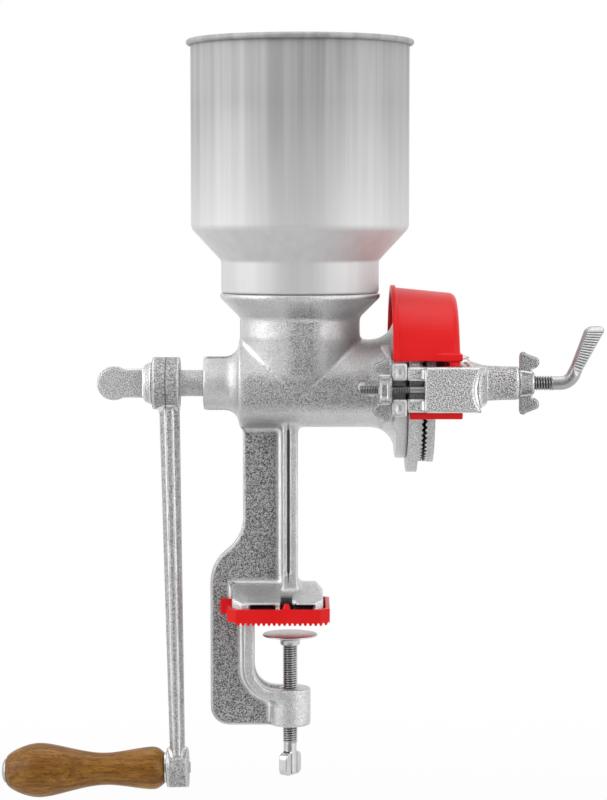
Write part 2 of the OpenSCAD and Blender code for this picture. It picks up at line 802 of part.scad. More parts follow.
// Ring of radial teeth, standing on z = 0, with ridges and valleys in turn
module toothed_ring() {
    n = 2 * teeth;
    out_r = ring_r - ring_embed;
    top = [for (i = [0:n - 1]) ring_t + (i % 2 == 0 ? tooth_h : 0)];
    outer = [for (i = [0:n - 1]) [out_r * cos(360 * i / n), out_r * sin(360 * i / n)]];
    inner = [for (i = [0:n - 1]) [ring_in_r * cos(360 * i / n), ring_in_r * sin(360 * i / n)]];
    points = concat(
        [for (i = [0:n - 1]) [outer[i][0], outer[i][1], top[i]]],
        [for (i = [0:n - 1]) [inner[i][0], inner[i][1], ring_t + (top[i] - ring_t) * ring_in_r / ring_r]],
        [for (p = outer) [p[0], p[1], -ring_embed]],
        [for (p = inner) [p[0], p[1], -ring_embed]]
    );
    faces = [for (i = [0:n - 1])
        let (j = (i + 1) % n)
        each [
            [i, n + i, n + j], [i, n + j, j],
            [i, j, 2 * n + j], [i, 2 * n + j, 2 * n + i],
            [n + j, n + i, 3 * n + i], [n + j, 3 * n + i, 3 * n + j],
            [2 * n + i, 2 * n + j, 3 * n + j], [2 * n + i, 3 * n + j, 3 * n + i]
        ]
    ];
    polyhedron(points = points, faces = faces);
}

// Stationary disc, bolted flat on the barrel's flange by its pins
module stationary_disc() {
    color(tin) difference() {
        union() {
            on_shaft(face_x) cylinder(h = disc_t, r = disc_r);
            on_shaft(ring_x) toothed_ring();
        }
        on_shaft(face_x - over) cylinder(h = disc_t + ring_t + tooth_h + 2 * over, r = disc_bore_r);
        disc_pin_holes(face_x - over);
    }
}

// Holes for the pins of the stationary disc
module disc_pin_holes(x) {
    for (side = [-1, 1]) {
        translate([x, side * disc_pin_r * sin(45), shaft_z + side * disc_pin_r * sin(45)])
            rotate([0, 90, 0]) cylinder(h = disc_t / 2 + over, r = disc_pin_d / 2);
    }
}

module stationary_disc_pins() {
    color(steel) for (side = [-1, 1]) {
        translate([face_x - disc_pin_in, side * disc_pin_r * sin(45), shaft_z + side * disc_pin_r * sin(45)])
            rotate([0, 90, 0]) cylinder(h = disc_pin_in + disc_t / 2, r = disc_pin_d / 2);
    }
}

// Rotating disc with its hub, teeth toward the stationary disc and half a tooth out of step with it
module rotating_disc() {
    color(tin) difference() {
        union() {
            on_shaft(rotor_x) cylinder(h = rotor_t, r = ring_r);
            on_shaft(rotor_back_x) cylinder(h = rotor_hub_l, r = rotor_hub_r);
            on_shaft(rotor_x) rotate([180, 0, 180 / teeth]) toothed_ring();
        }
        on_shaft(rotor_tip_x - over)
            cylinder(h = rotor_back_x - rotor_tip_x + rotor_hub_l + 2 * over, r = rotor_seat_r);
        on_shaft(drive_pin_x) rotate([90, 0, 0])
            cylinder(h = 4 * rotor_hub_r, r = drive_pin_d / 2, center = true);
    }
}

module disc_drive_pin() {
    color(steel) on_shaft(drive_pin_x) rotate([90, 0, 0])
        cylinder(h = 2 * rotor_hub_r + over, r = drive_pin_d / 2, center = true);
}

module thrust_ball() {
    color(steel) translate([ball_x, 0, shaft_z]) sphere(r = ball_r);
}

// Plan of the bridge's cross bar, with a bowed outer face
module bar_plan() {
    polygon(concat(
        [[bar_x, bar_out], [bar_x, -bar_out]],
        [for (i = [-bow_steps:bow_steps])
            [bar_end_x - bar_bow * (1 - cos(90 * i / bow_steps)), bar_out * sin(90 * i / bow_steps)]]
    ));
}

// Both arms, each with a shoulder on the bar and a hollowed outer end
module bridge_arms() {
    waist_r = (pow(arm_half, 2) + pow(waist_depth, 2)) / (2 * waist_depth);
    shoulder_in = arm_in - arm_shoulder;
    intersection() {
        translate([0, 0, -arm_half]) linear_extrude(height = arm_h) for (side = [0, 1]) mirror([0, side]) {
            translate([arm_x, arm_in]) square([arm_end_x - arm_x, arm_out - arm_in]);
            translate([bar_x, shoulder_in]) square([arm_end_x - bar_x, arm_out - shoulder_in]);
        }
        slab(2 * arm_out + over) difference() {
            translate([arm_x - over, -arm_h]) square([arm_end_x - arm_x + 2 * over, 2 * arm_h]);
            translate([arm_end_x - waist_depth + waist_r, 0]) circle(r = waist_r);
        }
    }
}

module bridge() {
    color(tin) translate([0, 0, shaft_z]) difference() {
        union() {
            bridge_arms();
            translate([0, 0, -bar_half]) linear_extrude(height = 2 * bar_half) bar_plan();
            translate([bar_x, 0, 0]) rotate([0, 90, 0])
                cylinder(h = boss_end_x - bar_x, r1 = bridge_boss_r + boss_swell, r2 = bridge_boss_r);
        }
        translate([bar_x - over, 0, 0]) rotate([0, 90, 0])
            cylinder(h = journal_bore_end - bar_x + over, r = journal_bore_r);
        translate([bar_x, 0, 0]) rotate([0, 90, 0])
            cylinder(h = boss_end_x - bar_x + over, r = adjuster_r + run_gap);
        for (side = [-1, 1]) {
            // Lower face of the lugs, step to the block, fork slot and pocket for the bolt's head
            translate([arm_x - over, side > 0 ? lug_out : -arm_out - over, -arm_half - over])
                cube([block_x - arm_x + over, arm_out - lug_out + over, arm_h + 2 * over]);
            translate([arm_x - over, side > 0 ? arm_in - over : -arm_out - over, -fork_slot / 2])
                cube([block_x - arm_x + over, arm_out - arm_in + 2 * over, fork_slot]);
            translate([block_x - over, side * bolt_y, 0]) {
                pocket = head_w + 2 * head_fit;
                translate([0, -pocket / 2, -pocket / 2]) cube([over + head_t, pocket, pocket]);
            }
        }
    }
}

module bridge_bolts() {
    color(steel) for (side = [-1, 1]) {
        translate([block_x, side * bolt_y, shaft_z]) {
            translate([0, -head_w / 2, -head_w / 2]) cube([head_t, head_w, head_w]);
            rotate([0, -90, 0]) cylinder(h = block_x - ear_x + bolt_tail, r = bolt_r);
        }
    }
}

// Wing nut lying on its seat at z = 0, wings up and down along X, round the hub given as its child
module wing_nut(hole_r, nut_l, span, thick) {
    difference() {
        union() {
            children();
            for (side = [0, 180]) {
                rotate([0, 0, side]) slab(thick) wing_outline(nut_l, span / 2);
            }
        }
        translate([0, 0, -over]) cylinder(h = nut_l + 2 * over, r = hole_r);
    }
}

// Outline of one wing: straight along the seat, leaf-shaped away from it, with a drawn-in neck
module wing_outline(nut_l, tip) {
    lobe_x = tip * wing_lobe_share;
    lobe_z = nut_l + wing_lobe_l - wing_lobe_r;
    polygon(concat(
        [[over, wing_lift], [tip - wing_foot_r, wing_lift]],
        arc(tip - wing_foot_r, wing_foot_r + wing_lift, wing_foot_r, -60, 60, 6),
        arc(lobe_x, lobe_z, wing_lobe_r, 50, 190, 8),
        [[lobe_x - wing_lobe_r - wing_neck, nut_l - wing_neck], [over, nut_l - wing_neck]]
    ));
}

module front_wing_nut() { color(steel) bolt_nut(-1); }

module rear_wing_nut() { color(steel) bolt_nut(1); }

// Wing nut of one bridge bolt, with a block for a hub and a square recess in each of its faces
module bolt_nut(side) {
    translate([ear_x - seat_gap, side * bolt_y, shaft_z]) rotate([0, -90, 0])
        wing_nut(bolt_r + run_gap, wing_nut_l, wing_span, wing_t) difference() {
            union() {
                translate([-nut_block_h / 2, -nut_block_w / 2, 0])
                    cube([nut_block_h, nut_block_w, wing_nut_l]);
                cylinder(h = nut_foot_t, r = nut_block_h / 2 - wing_lift);
            }
            for (face = [-1, 1]) {
                translate([-nut_recess_h / 2, face * nut_block_w / 2 - nut_recess_t, nut_recess_z])
                    cube([nut_recess_h, 2 * nut_recess_t, wing_nut_l - nut_recess_z - nut_recess_t]);
            }
        }
}

module adjusting_lock_nut() {
    color(steel) translate([boss_end_x + seat_gap, 0, shaft_z]) rotate([0, 90, 0])
        wing_nut(adjuster_r + run_gap, lock_l, lock_span, lock_wing_t)
            cylinder(h = lock_l, r1 = nut_hub_r, r2 = nut_tip_r);
}

// Thrust screw, bent up past its thread and flattened into a lever
module adjusting_screw() {
    end_x = boss_end_x + adjuster_out;
    bend = 90 - lever_lean;
    start = adjuster_bend_r * tan(bend / 2);
    color(steel) {
        on_shaft(adjuster_tip_x) cylinder(h = end_x - start + over - adjuster_tip_x, r = adjuster_r);
        translate([end_x - start, 0, shaft_z + adjuster_bend_r]) rotate([90, 0, 0]) rotate([0, 0, -90])
            rotate_extrude(angle = bend) translate([adjuster_bend_r, 0]) circle(r = adjuster_neck_r);
        translate([end_x, 0, shaft_z]) rotate([0, lever_lean, 0]) rotate([0, 0, lever_turn]) {
            translate([0, 0, start - over / 2]) lever_foot();
            translate([0, 0, start]) slab(lever_t) lever_outline(lever_l - start);
        }
    }
}

// Hammered foot of the lever, from the round bar to the flat
module lever_foot() {
    foot_w = lever_w * lever_foot_share;
    hull() {
        linear_extrude(height = over) circle(r = adjuster_neck_r - over / 10, $fn = 24);
        translate([-foot_w / 2, -lever_t / 2 - over / 10, lever_flat_l])
            cube([foot_w, lever_t + over / 5, over]);
    }
}

// Outline of the flat: narrow at its foot, wide and cut on a slant at its rounded end
module lever_outline(length) {
    foot_w = lever_w * lever_foot_share;
    drop = lever_w * lever_slant_share;
    left = -lever_w / 2 + lever_corner_r;
    polygon(concat(
        [[-foot_w / 2, over], [foot_w / 2, over]],
        arc(-left, length - lever_corner_r, lever_corner_r, -10, 80, 6),
        arc(left, length - drop - lever_corner_r, lever_corner_r, 110, 190, 6)
    ));
}

// Guard: a tapered hood over the discs, cut away below and beside for the bridge's arms
module disc_guard() {
    low = window_low + guard_lip;
    color(red) difference() {
        union() {
            on_shaft(0) rotate_extrude() polygon(concat(
                [[0, guard_x], [guard_r, guard_x]],
                arc(guard_end_r - guard_round, guard_end_x - guard_round, guard_round, 0, 90),
                [[0, guard_end_x]]
            ));
            on_shaft(guard_x) cylinder(h = guard_bead_w, r = guard_r + guard_bead);
            for (z = [window_top, -window_low - guard_lip]) intersection() {
                on_shaft(guard_x) cylinder(h = guard_len + guard_bead, r = guard_end_r + guard_bead);
                translate([guard_x, -guard_r, shaft_z + z])
                    cube([guard_len + guard_bead, 2 * guard_r, guard_lip]);
            }
        }
        on_shaft(0) rotate_extrude() polygon(concat(
            [[0, guard_x - over], [guard_r - guard_t, guard_x - over], [guard_r - guard_t, guard_x]],
            arc(guard_end_r - guard_round, guard_end_x - guard_round, guard_round - guard_t, 0, 90),
            [[0, guard_end_x - guard_t]]
        ));
        on_shaft(guard_end_x - guard_t - over)
            cylinder(h = guard_t + guard_bead + 2 * over, r = guard_hole_r);
        // Everything below the lower lips
        translate([guard_x - over, -2 * guard_r, shaft_z - low - 2 * guard_r])
            cube([guard_len + 4 * over, 4 * guard_r, 2 * guard_r]);
        // Windows for the arms
        translate([guard_x - over, -2 * guard_r, shaft_z - window_low])
            cube([guard_len - guard_t - guard_round + over, 4 * guard_r, window_low + window_top]);
        // Notch for the ears below the windows
        translate([guard_x - over, -2 * guard_r, shaft_z - low - over])
            cube([face_x - guard_x + over, 4 * guard_r, low + window_top]);
    }
}

// Crank: two hubs and a tapered arm with a parting ridge
module crank_arm() {
    color(tin) difference() {
        union() {
            on_shaft(hub_end_x) cylinder(h = hub_l, r = hub_r);
            translate([arm_x_top, 0, shaft_z]) rotate([0, -crank_lean, 0]) crank_beam();
            on_grip() cylinder(h = lower_hub_l, r = lower_hub_r, center = true);
        }
        square = square_w + 2 * square_fit;
        on_shaft(hub_end_x - over) translate([-square / 2, -square / 2, 0])
            cube([square, square, hub_l + 2 * over]);
        on_grip() cylinder(h = lower_hub_l + 2 * over, r = rivet_r, center = true);
    }
}

// Tapered beam of the crank, hanging down from the shaft
module crank_beam() {
    length = crank_throw / cos(crank_lean) - lower_hub_r / 2;
    start = hub_r / 2;
    hull() {
        translate([0, 0, -start]) linear_extrude(height = over) beam_section(arm_t);
        translate([0, 0, -length]) linear_extrude(height = over) beam_section(arm_t_low);
    }
}

// Section of the beam for a given thickness: flat faces, bevelled edges
module beam_section(t) {
    flat = t * beam_flat_share;
    edge = t * beam_edge_share;
    polygon([
        [-t / 2, -flat], [-edge, -arm_w / 2], [edge, -arm_w / 2], [t / 2, -flat],
        [t / 2, flat], [edge, arm_w / 2], [-edge, arm_w / 2], [-t / 2, flat]
    ]);
}

// Thumbscrew in the shaft's end: cone flange and a rounded paddle
module crank_thumbscrew() {
    head_r = thumb_w / 2;
    color(steel) {
        on_shaft(hub_end_x - seat_gap - thumb_flange_t) {
            cylinder(h = thumb_flange_t, r1 = thumb_flange_r - thumb_flange_t / 2, r2 = thumb_flange_r);
            cylinder(h = thumb_flange_t + seat_gap + thumb_stem_l, r = thumb_stem_r);
        }
        translate([hub_end_x - seat_gap - thumb_flange_t - thumb_l, 0, shaft_z]) slab(thumb_t) {
            translate([head_r, 0]) circle(r = head_r);
            translate([head_r, -head_r * 0.85]) square([thumb_l - head_r + over, thumb_w * 0.85]);
        }
    }
}

// Wooden grip, turned to a swelling palm end
module handle_grip() {
    end = grip_start + grip_l;
    color(wood) on_grip() difference() {
        rotate_extrude() polygon(concat(
            [[0, grip_start]],
            [for (s = grip_shares) [s[1] * grip_r, grip_start + s[0] * grip_l]],
            [[0, end]]
        ));
        translate([0, 0, grip_start - over]) cylinder(h = grip_l + 2 * over, r = rivet_r + run_gap);
    }
}

module handle_rivet() {
    head_z = grip_start + grip_l + seat_gap;
    dome_r = (pow(rivet_head_r, 2) + pow(rivet_head_h, 2)) / (2 * rivet_head_h);
    color(steel) on_grip() {
        translate([0, 0, -lower_hub_l / 2 - rivet_tail_h])
            cylinder(h = head_z + lower_hub_l / 2 + rivet_tail_h + over / 2, r = rivet_r);
        intersection() {
            translate([0, 0, head_z]) cylinder(h = rivet_head_h, r = rivet_head_r);
            translate([0, 0, head_z + rivet_head_h - dome_r]) sphere(r = dome_r);
        }
    }
}

module handle_washer() {
    color(steel) on_grip() translate([0, 0, lower_hub_l / 2]) difference() {
        cylinder(h = washer_t, r = washer_r);
        translate([0, 0, -over]) cylinder(h = washer_t + 2 * over, r = rivet_r);
    }
}

mill_body();
hopper();
table_pad();
clamp_screw();
clamp_disc();
auger();
stationary_disc();
stationary_disc_pins();
rotating_disc();
disc_drive_pin();
thrust_ball();
bridge();
bridge_bolts();
front_wing_nut();
rear_wing_nut();
adjusting_screw();
adjusting_lock_nut();
disc_guard();
crank_arm();
crank_thumbscrew();
handle_grip();
handle_rivet();
handle_washer();
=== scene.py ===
"""The looks of the hand grain mill: cast, sheet, turned and moulded pieces over the fixed frame."""
import json
import math

import bmesh
import bpy
import numpy
from mathutils import Matrix, Vector

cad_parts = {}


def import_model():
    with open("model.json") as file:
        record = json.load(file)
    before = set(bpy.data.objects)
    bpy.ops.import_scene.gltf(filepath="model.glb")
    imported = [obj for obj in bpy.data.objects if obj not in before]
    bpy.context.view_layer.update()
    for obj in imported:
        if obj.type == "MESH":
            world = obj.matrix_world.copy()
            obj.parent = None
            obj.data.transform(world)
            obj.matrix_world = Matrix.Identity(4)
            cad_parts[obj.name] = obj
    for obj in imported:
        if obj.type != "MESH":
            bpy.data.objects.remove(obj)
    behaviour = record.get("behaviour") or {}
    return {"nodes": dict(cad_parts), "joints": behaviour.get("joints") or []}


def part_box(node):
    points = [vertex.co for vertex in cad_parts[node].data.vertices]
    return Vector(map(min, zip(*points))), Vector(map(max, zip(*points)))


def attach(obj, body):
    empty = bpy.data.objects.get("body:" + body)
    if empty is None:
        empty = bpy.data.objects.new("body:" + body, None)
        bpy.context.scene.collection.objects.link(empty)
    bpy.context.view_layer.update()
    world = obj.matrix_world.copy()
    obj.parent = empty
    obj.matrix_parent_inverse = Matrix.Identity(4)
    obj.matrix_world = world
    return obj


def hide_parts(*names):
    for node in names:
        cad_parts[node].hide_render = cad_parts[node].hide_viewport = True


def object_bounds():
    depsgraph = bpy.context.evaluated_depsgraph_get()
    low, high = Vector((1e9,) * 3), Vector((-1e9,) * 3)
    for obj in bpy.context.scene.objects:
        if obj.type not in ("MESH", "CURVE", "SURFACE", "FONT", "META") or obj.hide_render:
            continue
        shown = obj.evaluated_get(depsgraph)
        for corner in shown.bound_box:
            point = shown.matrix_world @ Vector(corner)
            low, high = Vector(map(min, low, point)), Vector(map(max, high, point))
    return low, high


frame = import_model()
cad_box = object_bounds()

MM = 0.001

# Half the thickness of the frame's web, and the middles of the jaw's notches and of the rib's grooves
web_half = 4 * MM
notch_x = -2.2 * MM
groove_x = -1.0 * MM

# Places read from the frame
shaft_z = sum(corner.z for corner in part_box("thrust_ball")) / 2
hopper_low, hopper_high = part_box("hopper")
throat_x = (hopper_low.x + hopper_high.x) / 2
bridge_low, bridge_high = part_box("bridge")
screw_low, screw_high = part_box("clamp_screw")

# Clamp screw: height of its thumb head and radius of its plain end
thumb_head_h = 15 * MM
plain_r = 4.3 * MM

# Grip: from its shoulder to its nose along its own axis
grip_start = 8.55 * MM
grip_end = 112.05 * MM

# Where the lines of the adjusting screw and of its lever would meet
lever_x = bridge_high.x + 33 * MM

# Radius of the lever's round neck
lever_neck_r = 4.4 * MM

# How strongly threads and ridges count as hollow
thread_reach = 1 / 3000


# Helpers for meshes

def mesh_object(name, bm):
    """A new object from a bmesh, with its faces turned outward."""
    bmesh.ops.recalc_face_normals(bm, faces=bm.faces)
    mesh = bpy.data.meshes.new(name)
    bm.to_mesh(mesh)
    bm.free()
    piece = bpy.data.objects.new(name, mesh)
    bpy.context.scene.collection.objects.link(piece)
    return piece


def shade_smooth(piece, degrees=35):
    """Smooth shading that breaks at edges sharper than an angle."""
    for face in piece.data.polygons:
        face.use_smooth = True
    bm = bmesh.new()
    bm.from_mesh(piece.data)
    for edge in bm.edges:
        edge.smooth = len(edge.link_faces) == 2 and edge.calc_face_angle(0) < math.radians(degrees)
    bm.to_mesh(piece.data)
    bm.free()


def apply_modifiers(piece):
    """Bakes the modifiers into the mesh."""
    graph = bpy.context.evaluated_depsgraph_get()
    mesh = bpy.data.meshes.new_from_object(piece.evaluated_get(graph))
    piece.modifiers.clear()
    old = piece.data
    piece.data = mesh
    bpy.data.meshes.remove(old)


def add_modifier(piece, kind, **values):
    """A modifier with its values set."""
    modifier = piece.modifiers.new(kind.lower(), kind)
    for key, value in values.items():
        setattr(modifier, key, value)
    return modifier


def lathe(bm, profile, matrix, steps=96, closed=False):
    """Turns a profile of (radius, height) pairs about the matrix's Z axis."""
    rings = []
    for radius, height in profile:
        if radius < 1e-7:
            rings.append([bm.verts.new(matrix @ Vector((0, 0, height)))])
            continue
        ring = []
        for step in range(steps):
            angle = 2 * math.pi * step / steps
            point = Vector((radius * math.cos(angle), radius * math.sin(angle), height))
            ring.append(bm.verts.new(matrix @ point))
        rings.append(ring)
    pairs = list(zip(rings, rings[1:]))
    if closed:
        pairs.append((rings[-1], rings[0]))
    for low, high in pairs:
        for step in range(steps):
            after = (step + 1) % steps
            corners = [
                low[step % len(low)], low[after % len(low)],
                high[after % len(high)], high[step % len(high)],
            ]
            unique = list(dict.fromkeys(corners))
            if len(unique) > 2:
                bm.faces.new(unique)


def prism(bm, outline, low, high, matrix=None):
    """A closed slab: an outline of (x, y) pairs between two heights."""
    matrix = matrix or Matrix.Identity(4)
    rings = [[bm.verts.new(matrix @ Vector((x, y, z))) for x, y in outline] for z in (low, high)]
    bm.faces.new(list(reversed(rings[0])))
    bm.faces.new(rings[1])
    count = len(outline)
    for i in range(count):
        j = (i + 1) % count
        bm.faces.new([rings[0][i], rings[0][j], rings[1][j], rings[1][i]])


def skin_rings(bm, rings):
    """Joins rings of vertices into a closed tube with flat ends."""
    for before, after in zip(rings, rings[1:]):
        count = len(before)
        for i in range(count):
            j = (i + 1) % count
            bm.faces.new([before[i], before[j], after[j], after[i]])
    bm.faces.new(list(reversed(rings[0])))
    bm.faces.new(rings[-1])


def box(bm, low, high):
    """A closed box between two corners."""
    outline = [(low[0], low[1]), (high[0], low[1]), (high[0], high[1]), (low[0], high[1])]
    prism(bm, outline, low[2], high[2])


def along_x(x, y=0.0, z=None):
    """A matrix that turns +Z to +X and moves to a place, on the shaft's axis by default."""
    z = shaft_z if z is None else z
    return Matrix.Translation((x, y, z)) @ Matrix.Rotation(math.pi / 2, 4, "Y")


def in_xz():
    """A matrix that lays an (x, z) outline in the XZ plane, with its height toward -Y."""
    return Matrix.Rotation(math.pi / 2, 4, "X")


def thread(bm, radius, pitch, start, end, matrix, depth=0.6, steps=28):
    """A closed threaded rod from start to end along the matrix's Z axis, with a right-hand thread."""
    rows_per_turn = 6
    run_out = 0.35 * pitch
    root_share = 0.12
    flank_share = 0.7
    core = radius - depth * pitch
    length = end - start
    count = max(2, round(length / pitch * rows_per_turn))
    rings = []
    for row in range(count + 1):
        height = start + length * row / count
        full = min(1.0, max(0.0, min(height - start, end - height) / run_out))
        ring = []
        for step in range(steps):
            turn = step / steps
            phase = (height / pitch - turn) % 1.0
            ridge = 1 - abs(2 * phase - 1)
            ridge = min(1.0, max(0.0, (ridge - root_share) / flank_share))
            out = core + (radius - core) * ridge * full
            angle = 2 * math.pi * turn
            point = Vector((out * math.cos(angle), out * math.sin(angle), height))
            ring.append(bm.verts.new(matrix @ point))
        rings.append(ring)
    skin_rings(bm, rings)


def arc(x, y, radius, start, end, count=8):
    """Points of an arc in a plane, from one angle to another in degrees."""
    points = []
    for i in range(count + 1):
        angle = math.radians(start + (end - start) * i / count)
        points.append((x + radius * math.cos(angle), y + radius * math.sin(angle)))
    return points


def smooth_curve(points, count=8):
    """A Catmull-Rom curve through (x, y) pairs."""
    ends = [points[0]] + list(points) + [points[-1]]
    curve = []
    for i in range(1, len(ends) - 2):
        a, b, c, d = (Vector(p) for p in ends[i - 1:i + 3])
        for k in range(count):
            t = k / count
            curve.append(0.5 * (
                2 * b + (c - a) * t + (2 * a - 5 * b + 4 * c - d) * t * t
                + (3 * b - 3 * c + d - a) * t * t * t))
    curve.append(Vector(points[-1]))
    return [(p.x, p.y) for p in curve]


def copy_of(node, bm):
    """Adds a CAD node's mesh to a bmesh."""
    bm.from_mesh(frame["nodes"][node].data)


def cast(name, bm, voxel, rounds, fillet=0.0, keep=1.0, cuts=None):
    """Melts overlapping solids into one skin with filleted inside corners, cut and then softened."""
    piece = mesh_object(name, bm)
    add_modifier(piece, "REMESH", mode="VOXEL", voxel_size=voxel)
    if fillet > 0:
        add_modifier(piece, "DISPLACE", strength=fillet, mid_level=0.0)
        add_modifier(piece, "REMESH", mode="VOXEL", voxel_size=voxel)
        add_modifier(piece, "DISPLACE", strength=-fillet, mid_level=0.0)
        add_modifier(piece, "REMESH", mode="VOXEL", voxel_size=voxel)
    if cuts is not None:
        cutter = mesh_object(name + "_cuts", cuts)
        add_modifier(piece, "BOOLEAN", operation="DIFFERENCE", object=cutter, solver="MANIFOLD")
        add_modifier(piece, "REMESH", mode="VOXEL", voxel_size=voxel)
    add_modifier(piece, "SMOOTH", factor=0.5, iterations=rounds)
    if keep < 1.0:
        add_modifier(piece, "DECIMATE", ratio=keep)
    apply_modifiers(piece)
    if cuts is not None:
        bpy.data.objects.remove(cutter)
    for face in piece.data.polygons:
        face.use_smooth = True
    mark_hollows(piece)
    return piece


def mark_hollows(piece, rounds=3, reach=1 / 420):
    """Stores at each vertex how hollow the skin is: 0.5 where flat, more in fillets, less on edges."""
    mesh = piece.data
    count = len(mesh.vertices)
    places = numpy.empty(count * 3)
    mesh.vertices.foreach_get("co", places)
    places = places.reshape(count, 3)
    normals = numpy.empty(count * 3)
    mesh.vertices.foreach_get("normal", normals)
    normals = normals.reshape(count, 3)
    edges = numpy.empty(len(mesh.edges) * 2, dtype=int)
    mesh.edges.foreach_get("vertices", edges)
    ends = edges.reshape(-1, 2)
    near = numpy.concatenate([ends, ends[:, ::-1]])
    links = numpy.maximum(numpy.bincount(near[:, 0], minlength=count), 1)
    steps = places[near[:, 1]] - places[near[:, 0]]
    lifts = (steps * normals[near[:, 0]]).sum(axis=1) / (steps ** 2).sum(axis=1)
    hollow = numpy.bincount(near[:, 0], lifts, count) / links
    for _ in range(rounds):
        hollow = 0.4 * hollow + 0.6 * numpy.bincount(near[:, 0], hollow[near[:, 1]], count) / links
    layer = mesh.attributes.new("hollow", "FLOAT", "POINT")
    layer.data.foreach_set("value", numpy.clip(0.5 + hollow * reach, 0, 1))


def finish_piece(piece, body, slot, material, *nodes):
    """Gives a piece its body and material and hides the CAD nodes that it stands for; the slot is not used.
    """
    piece.data.materials.clear()
    piece.data.materials.append(material)
    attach(piece, body)
    if nodes:
        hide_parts(*nodes)
    return piece


# Materials

class Nodes:
    """Short calls for a material's node tree."""

    def __init__(self, name):
        self.material = bpy.data.materials.new(name)
        self.material.use_nodes = True
        self.tree = self.material.node_tree
        self.shader = self.tree.nodes["Principled BSDF"]
        self.place = self.add("ShaderNodeTexCoord").outputs["Object"]

    def add(self, kind, **values):
        """A node with its own settings."""
        node = self.tree.nodes.new(kind)
        for key, value in values.items():
            setattr(node, key, value)
        return node

    def link(self, source, target):
        """A link from an output to an input."""
        self.tree.links.new(source, target)

    def set(self, **values):
        """Values on the shader's own sockets; underscores stand for spaces."""
        for key, value in values.items():
            self.shader.inputs[key.replace("_", " ")].default_value = value

    def scaled(self, scale):
        """Object coordinates, scaled along each axis."""
        node = self.add("ShaderNodeMapping")
        node.inputs["Scale"].default_value = scale
        self.link(self.place, node.inputs["Vector"])
        return node.outputs["Vector"]

    def noise(self, size=None, detail=3.0, roughness=0.55, vector=None, distortion=0.0):
        """Noise whose blobs are about a size in metres, or as large as a scaled vector makes them."""
        node = self.add("ShaderNodeTexNoise")
        node.inputs["Scale"].default_value = 1 / size if vector is None else 1.0
        node.inputs["Detail"].default_value = detail
        node.inputs["Roughness"].default_value = roughness
        node.inputs["Distortion"].default_value = distortion
        self.link(vector or self.place, node.inputs["Vector"])
        return node.outputs["Fac"]

    def attribute(self, name):
        """A number stored on the mesh."""
        return self.add("ShaderNodeAttribute", attribute_name=name).outputs["Fac"]

    def band(self, axis, centre, near, far):
        """1 near a plane across an axis, falling to 0 at a distance to either side of it."""
        split = self.add("ShaderNodeSeparateXYZ")
        self.link(self.place, split.inputs[0])
        out = self.math("ABSOLUTE", self.math("SUBTRACT", split.outputs[axis], centre), 0.0)
        ratio = self.math("DIVIDE", self.math("SUBTRACT", far, out), far - near)
        return self.math("MINIMUM", self.math("MAXIMUM", ratio, 0.0), 1.0)

    def ramp(self, source, *stops):
        """A colour ramp from (place, value or colour) stops."""
        node = self.add("ShaderNodeValToRGB")
        elements = node.color_ramp.elements
        while len(elements) < len(stops):
            elements.new(0.5)
        for element, (place, value) in zip(elements, stops):
            element.position = place
            grey = (value, value, value, 1)
            element.color = grey if isinstance(value, (int, float)) else (*value, 1)
        self.link(source, node.inputs["Fac"])
        return node.outputs["Color"]

    def math(self, operation, a, b):
        """A math node on two sockets or numbers."""
        node = self.add("ShaderNodeMath", operation=operation)
        for socket, value in zip(node.inputs, (a, b)):
            if isinstance(value, (int, float)):
                socket.default_value = value
            else:
                self.link(value, socket)
        return node.outputs["Value"]

    def both(self, a, b):
        """The product of two masks."""
        return self.math("MULTIPLY", a, b)

    def either(self, a, b):
        """The larger of two masks."""
        return self.math("MAXIMUM", a, b)

    def mix(self, factor, a, b):
        """A colour mix of two sockets or colours."""
        node = self.add("ShaderNodeMix", data_type="RGBA")
        for socket, value in ((node.inputs[0], factor), (node.inputs[6], a), (node.inputs[7], b)):
            if isinstance(value, (int, float)):
                socket.default_value = value
            elif isinstance(value, tuple):
                socket.default_value = (*value, 1)
            else:
                self.link(value, socket)
        return node.outputs[2]

    def bump(self, *layers):
        """Bump from (height socket, depth in metres) layers, into the shader's normal."""
        normal = None
        for height, depth in layers:
            node = self.add("ShaderNodeBump")
            node.inputs["Strength"].default_value = 1.0
            node.inputs["Distance"].default_value = depth
            self.link(height, node.inputs["Height"])
            if normal is not None:
                self.link(normal, node.inputs["Normal"])
            normal = node.outputs["Normal"]
        self.link(normal, self.shader.inputs["Normal"])


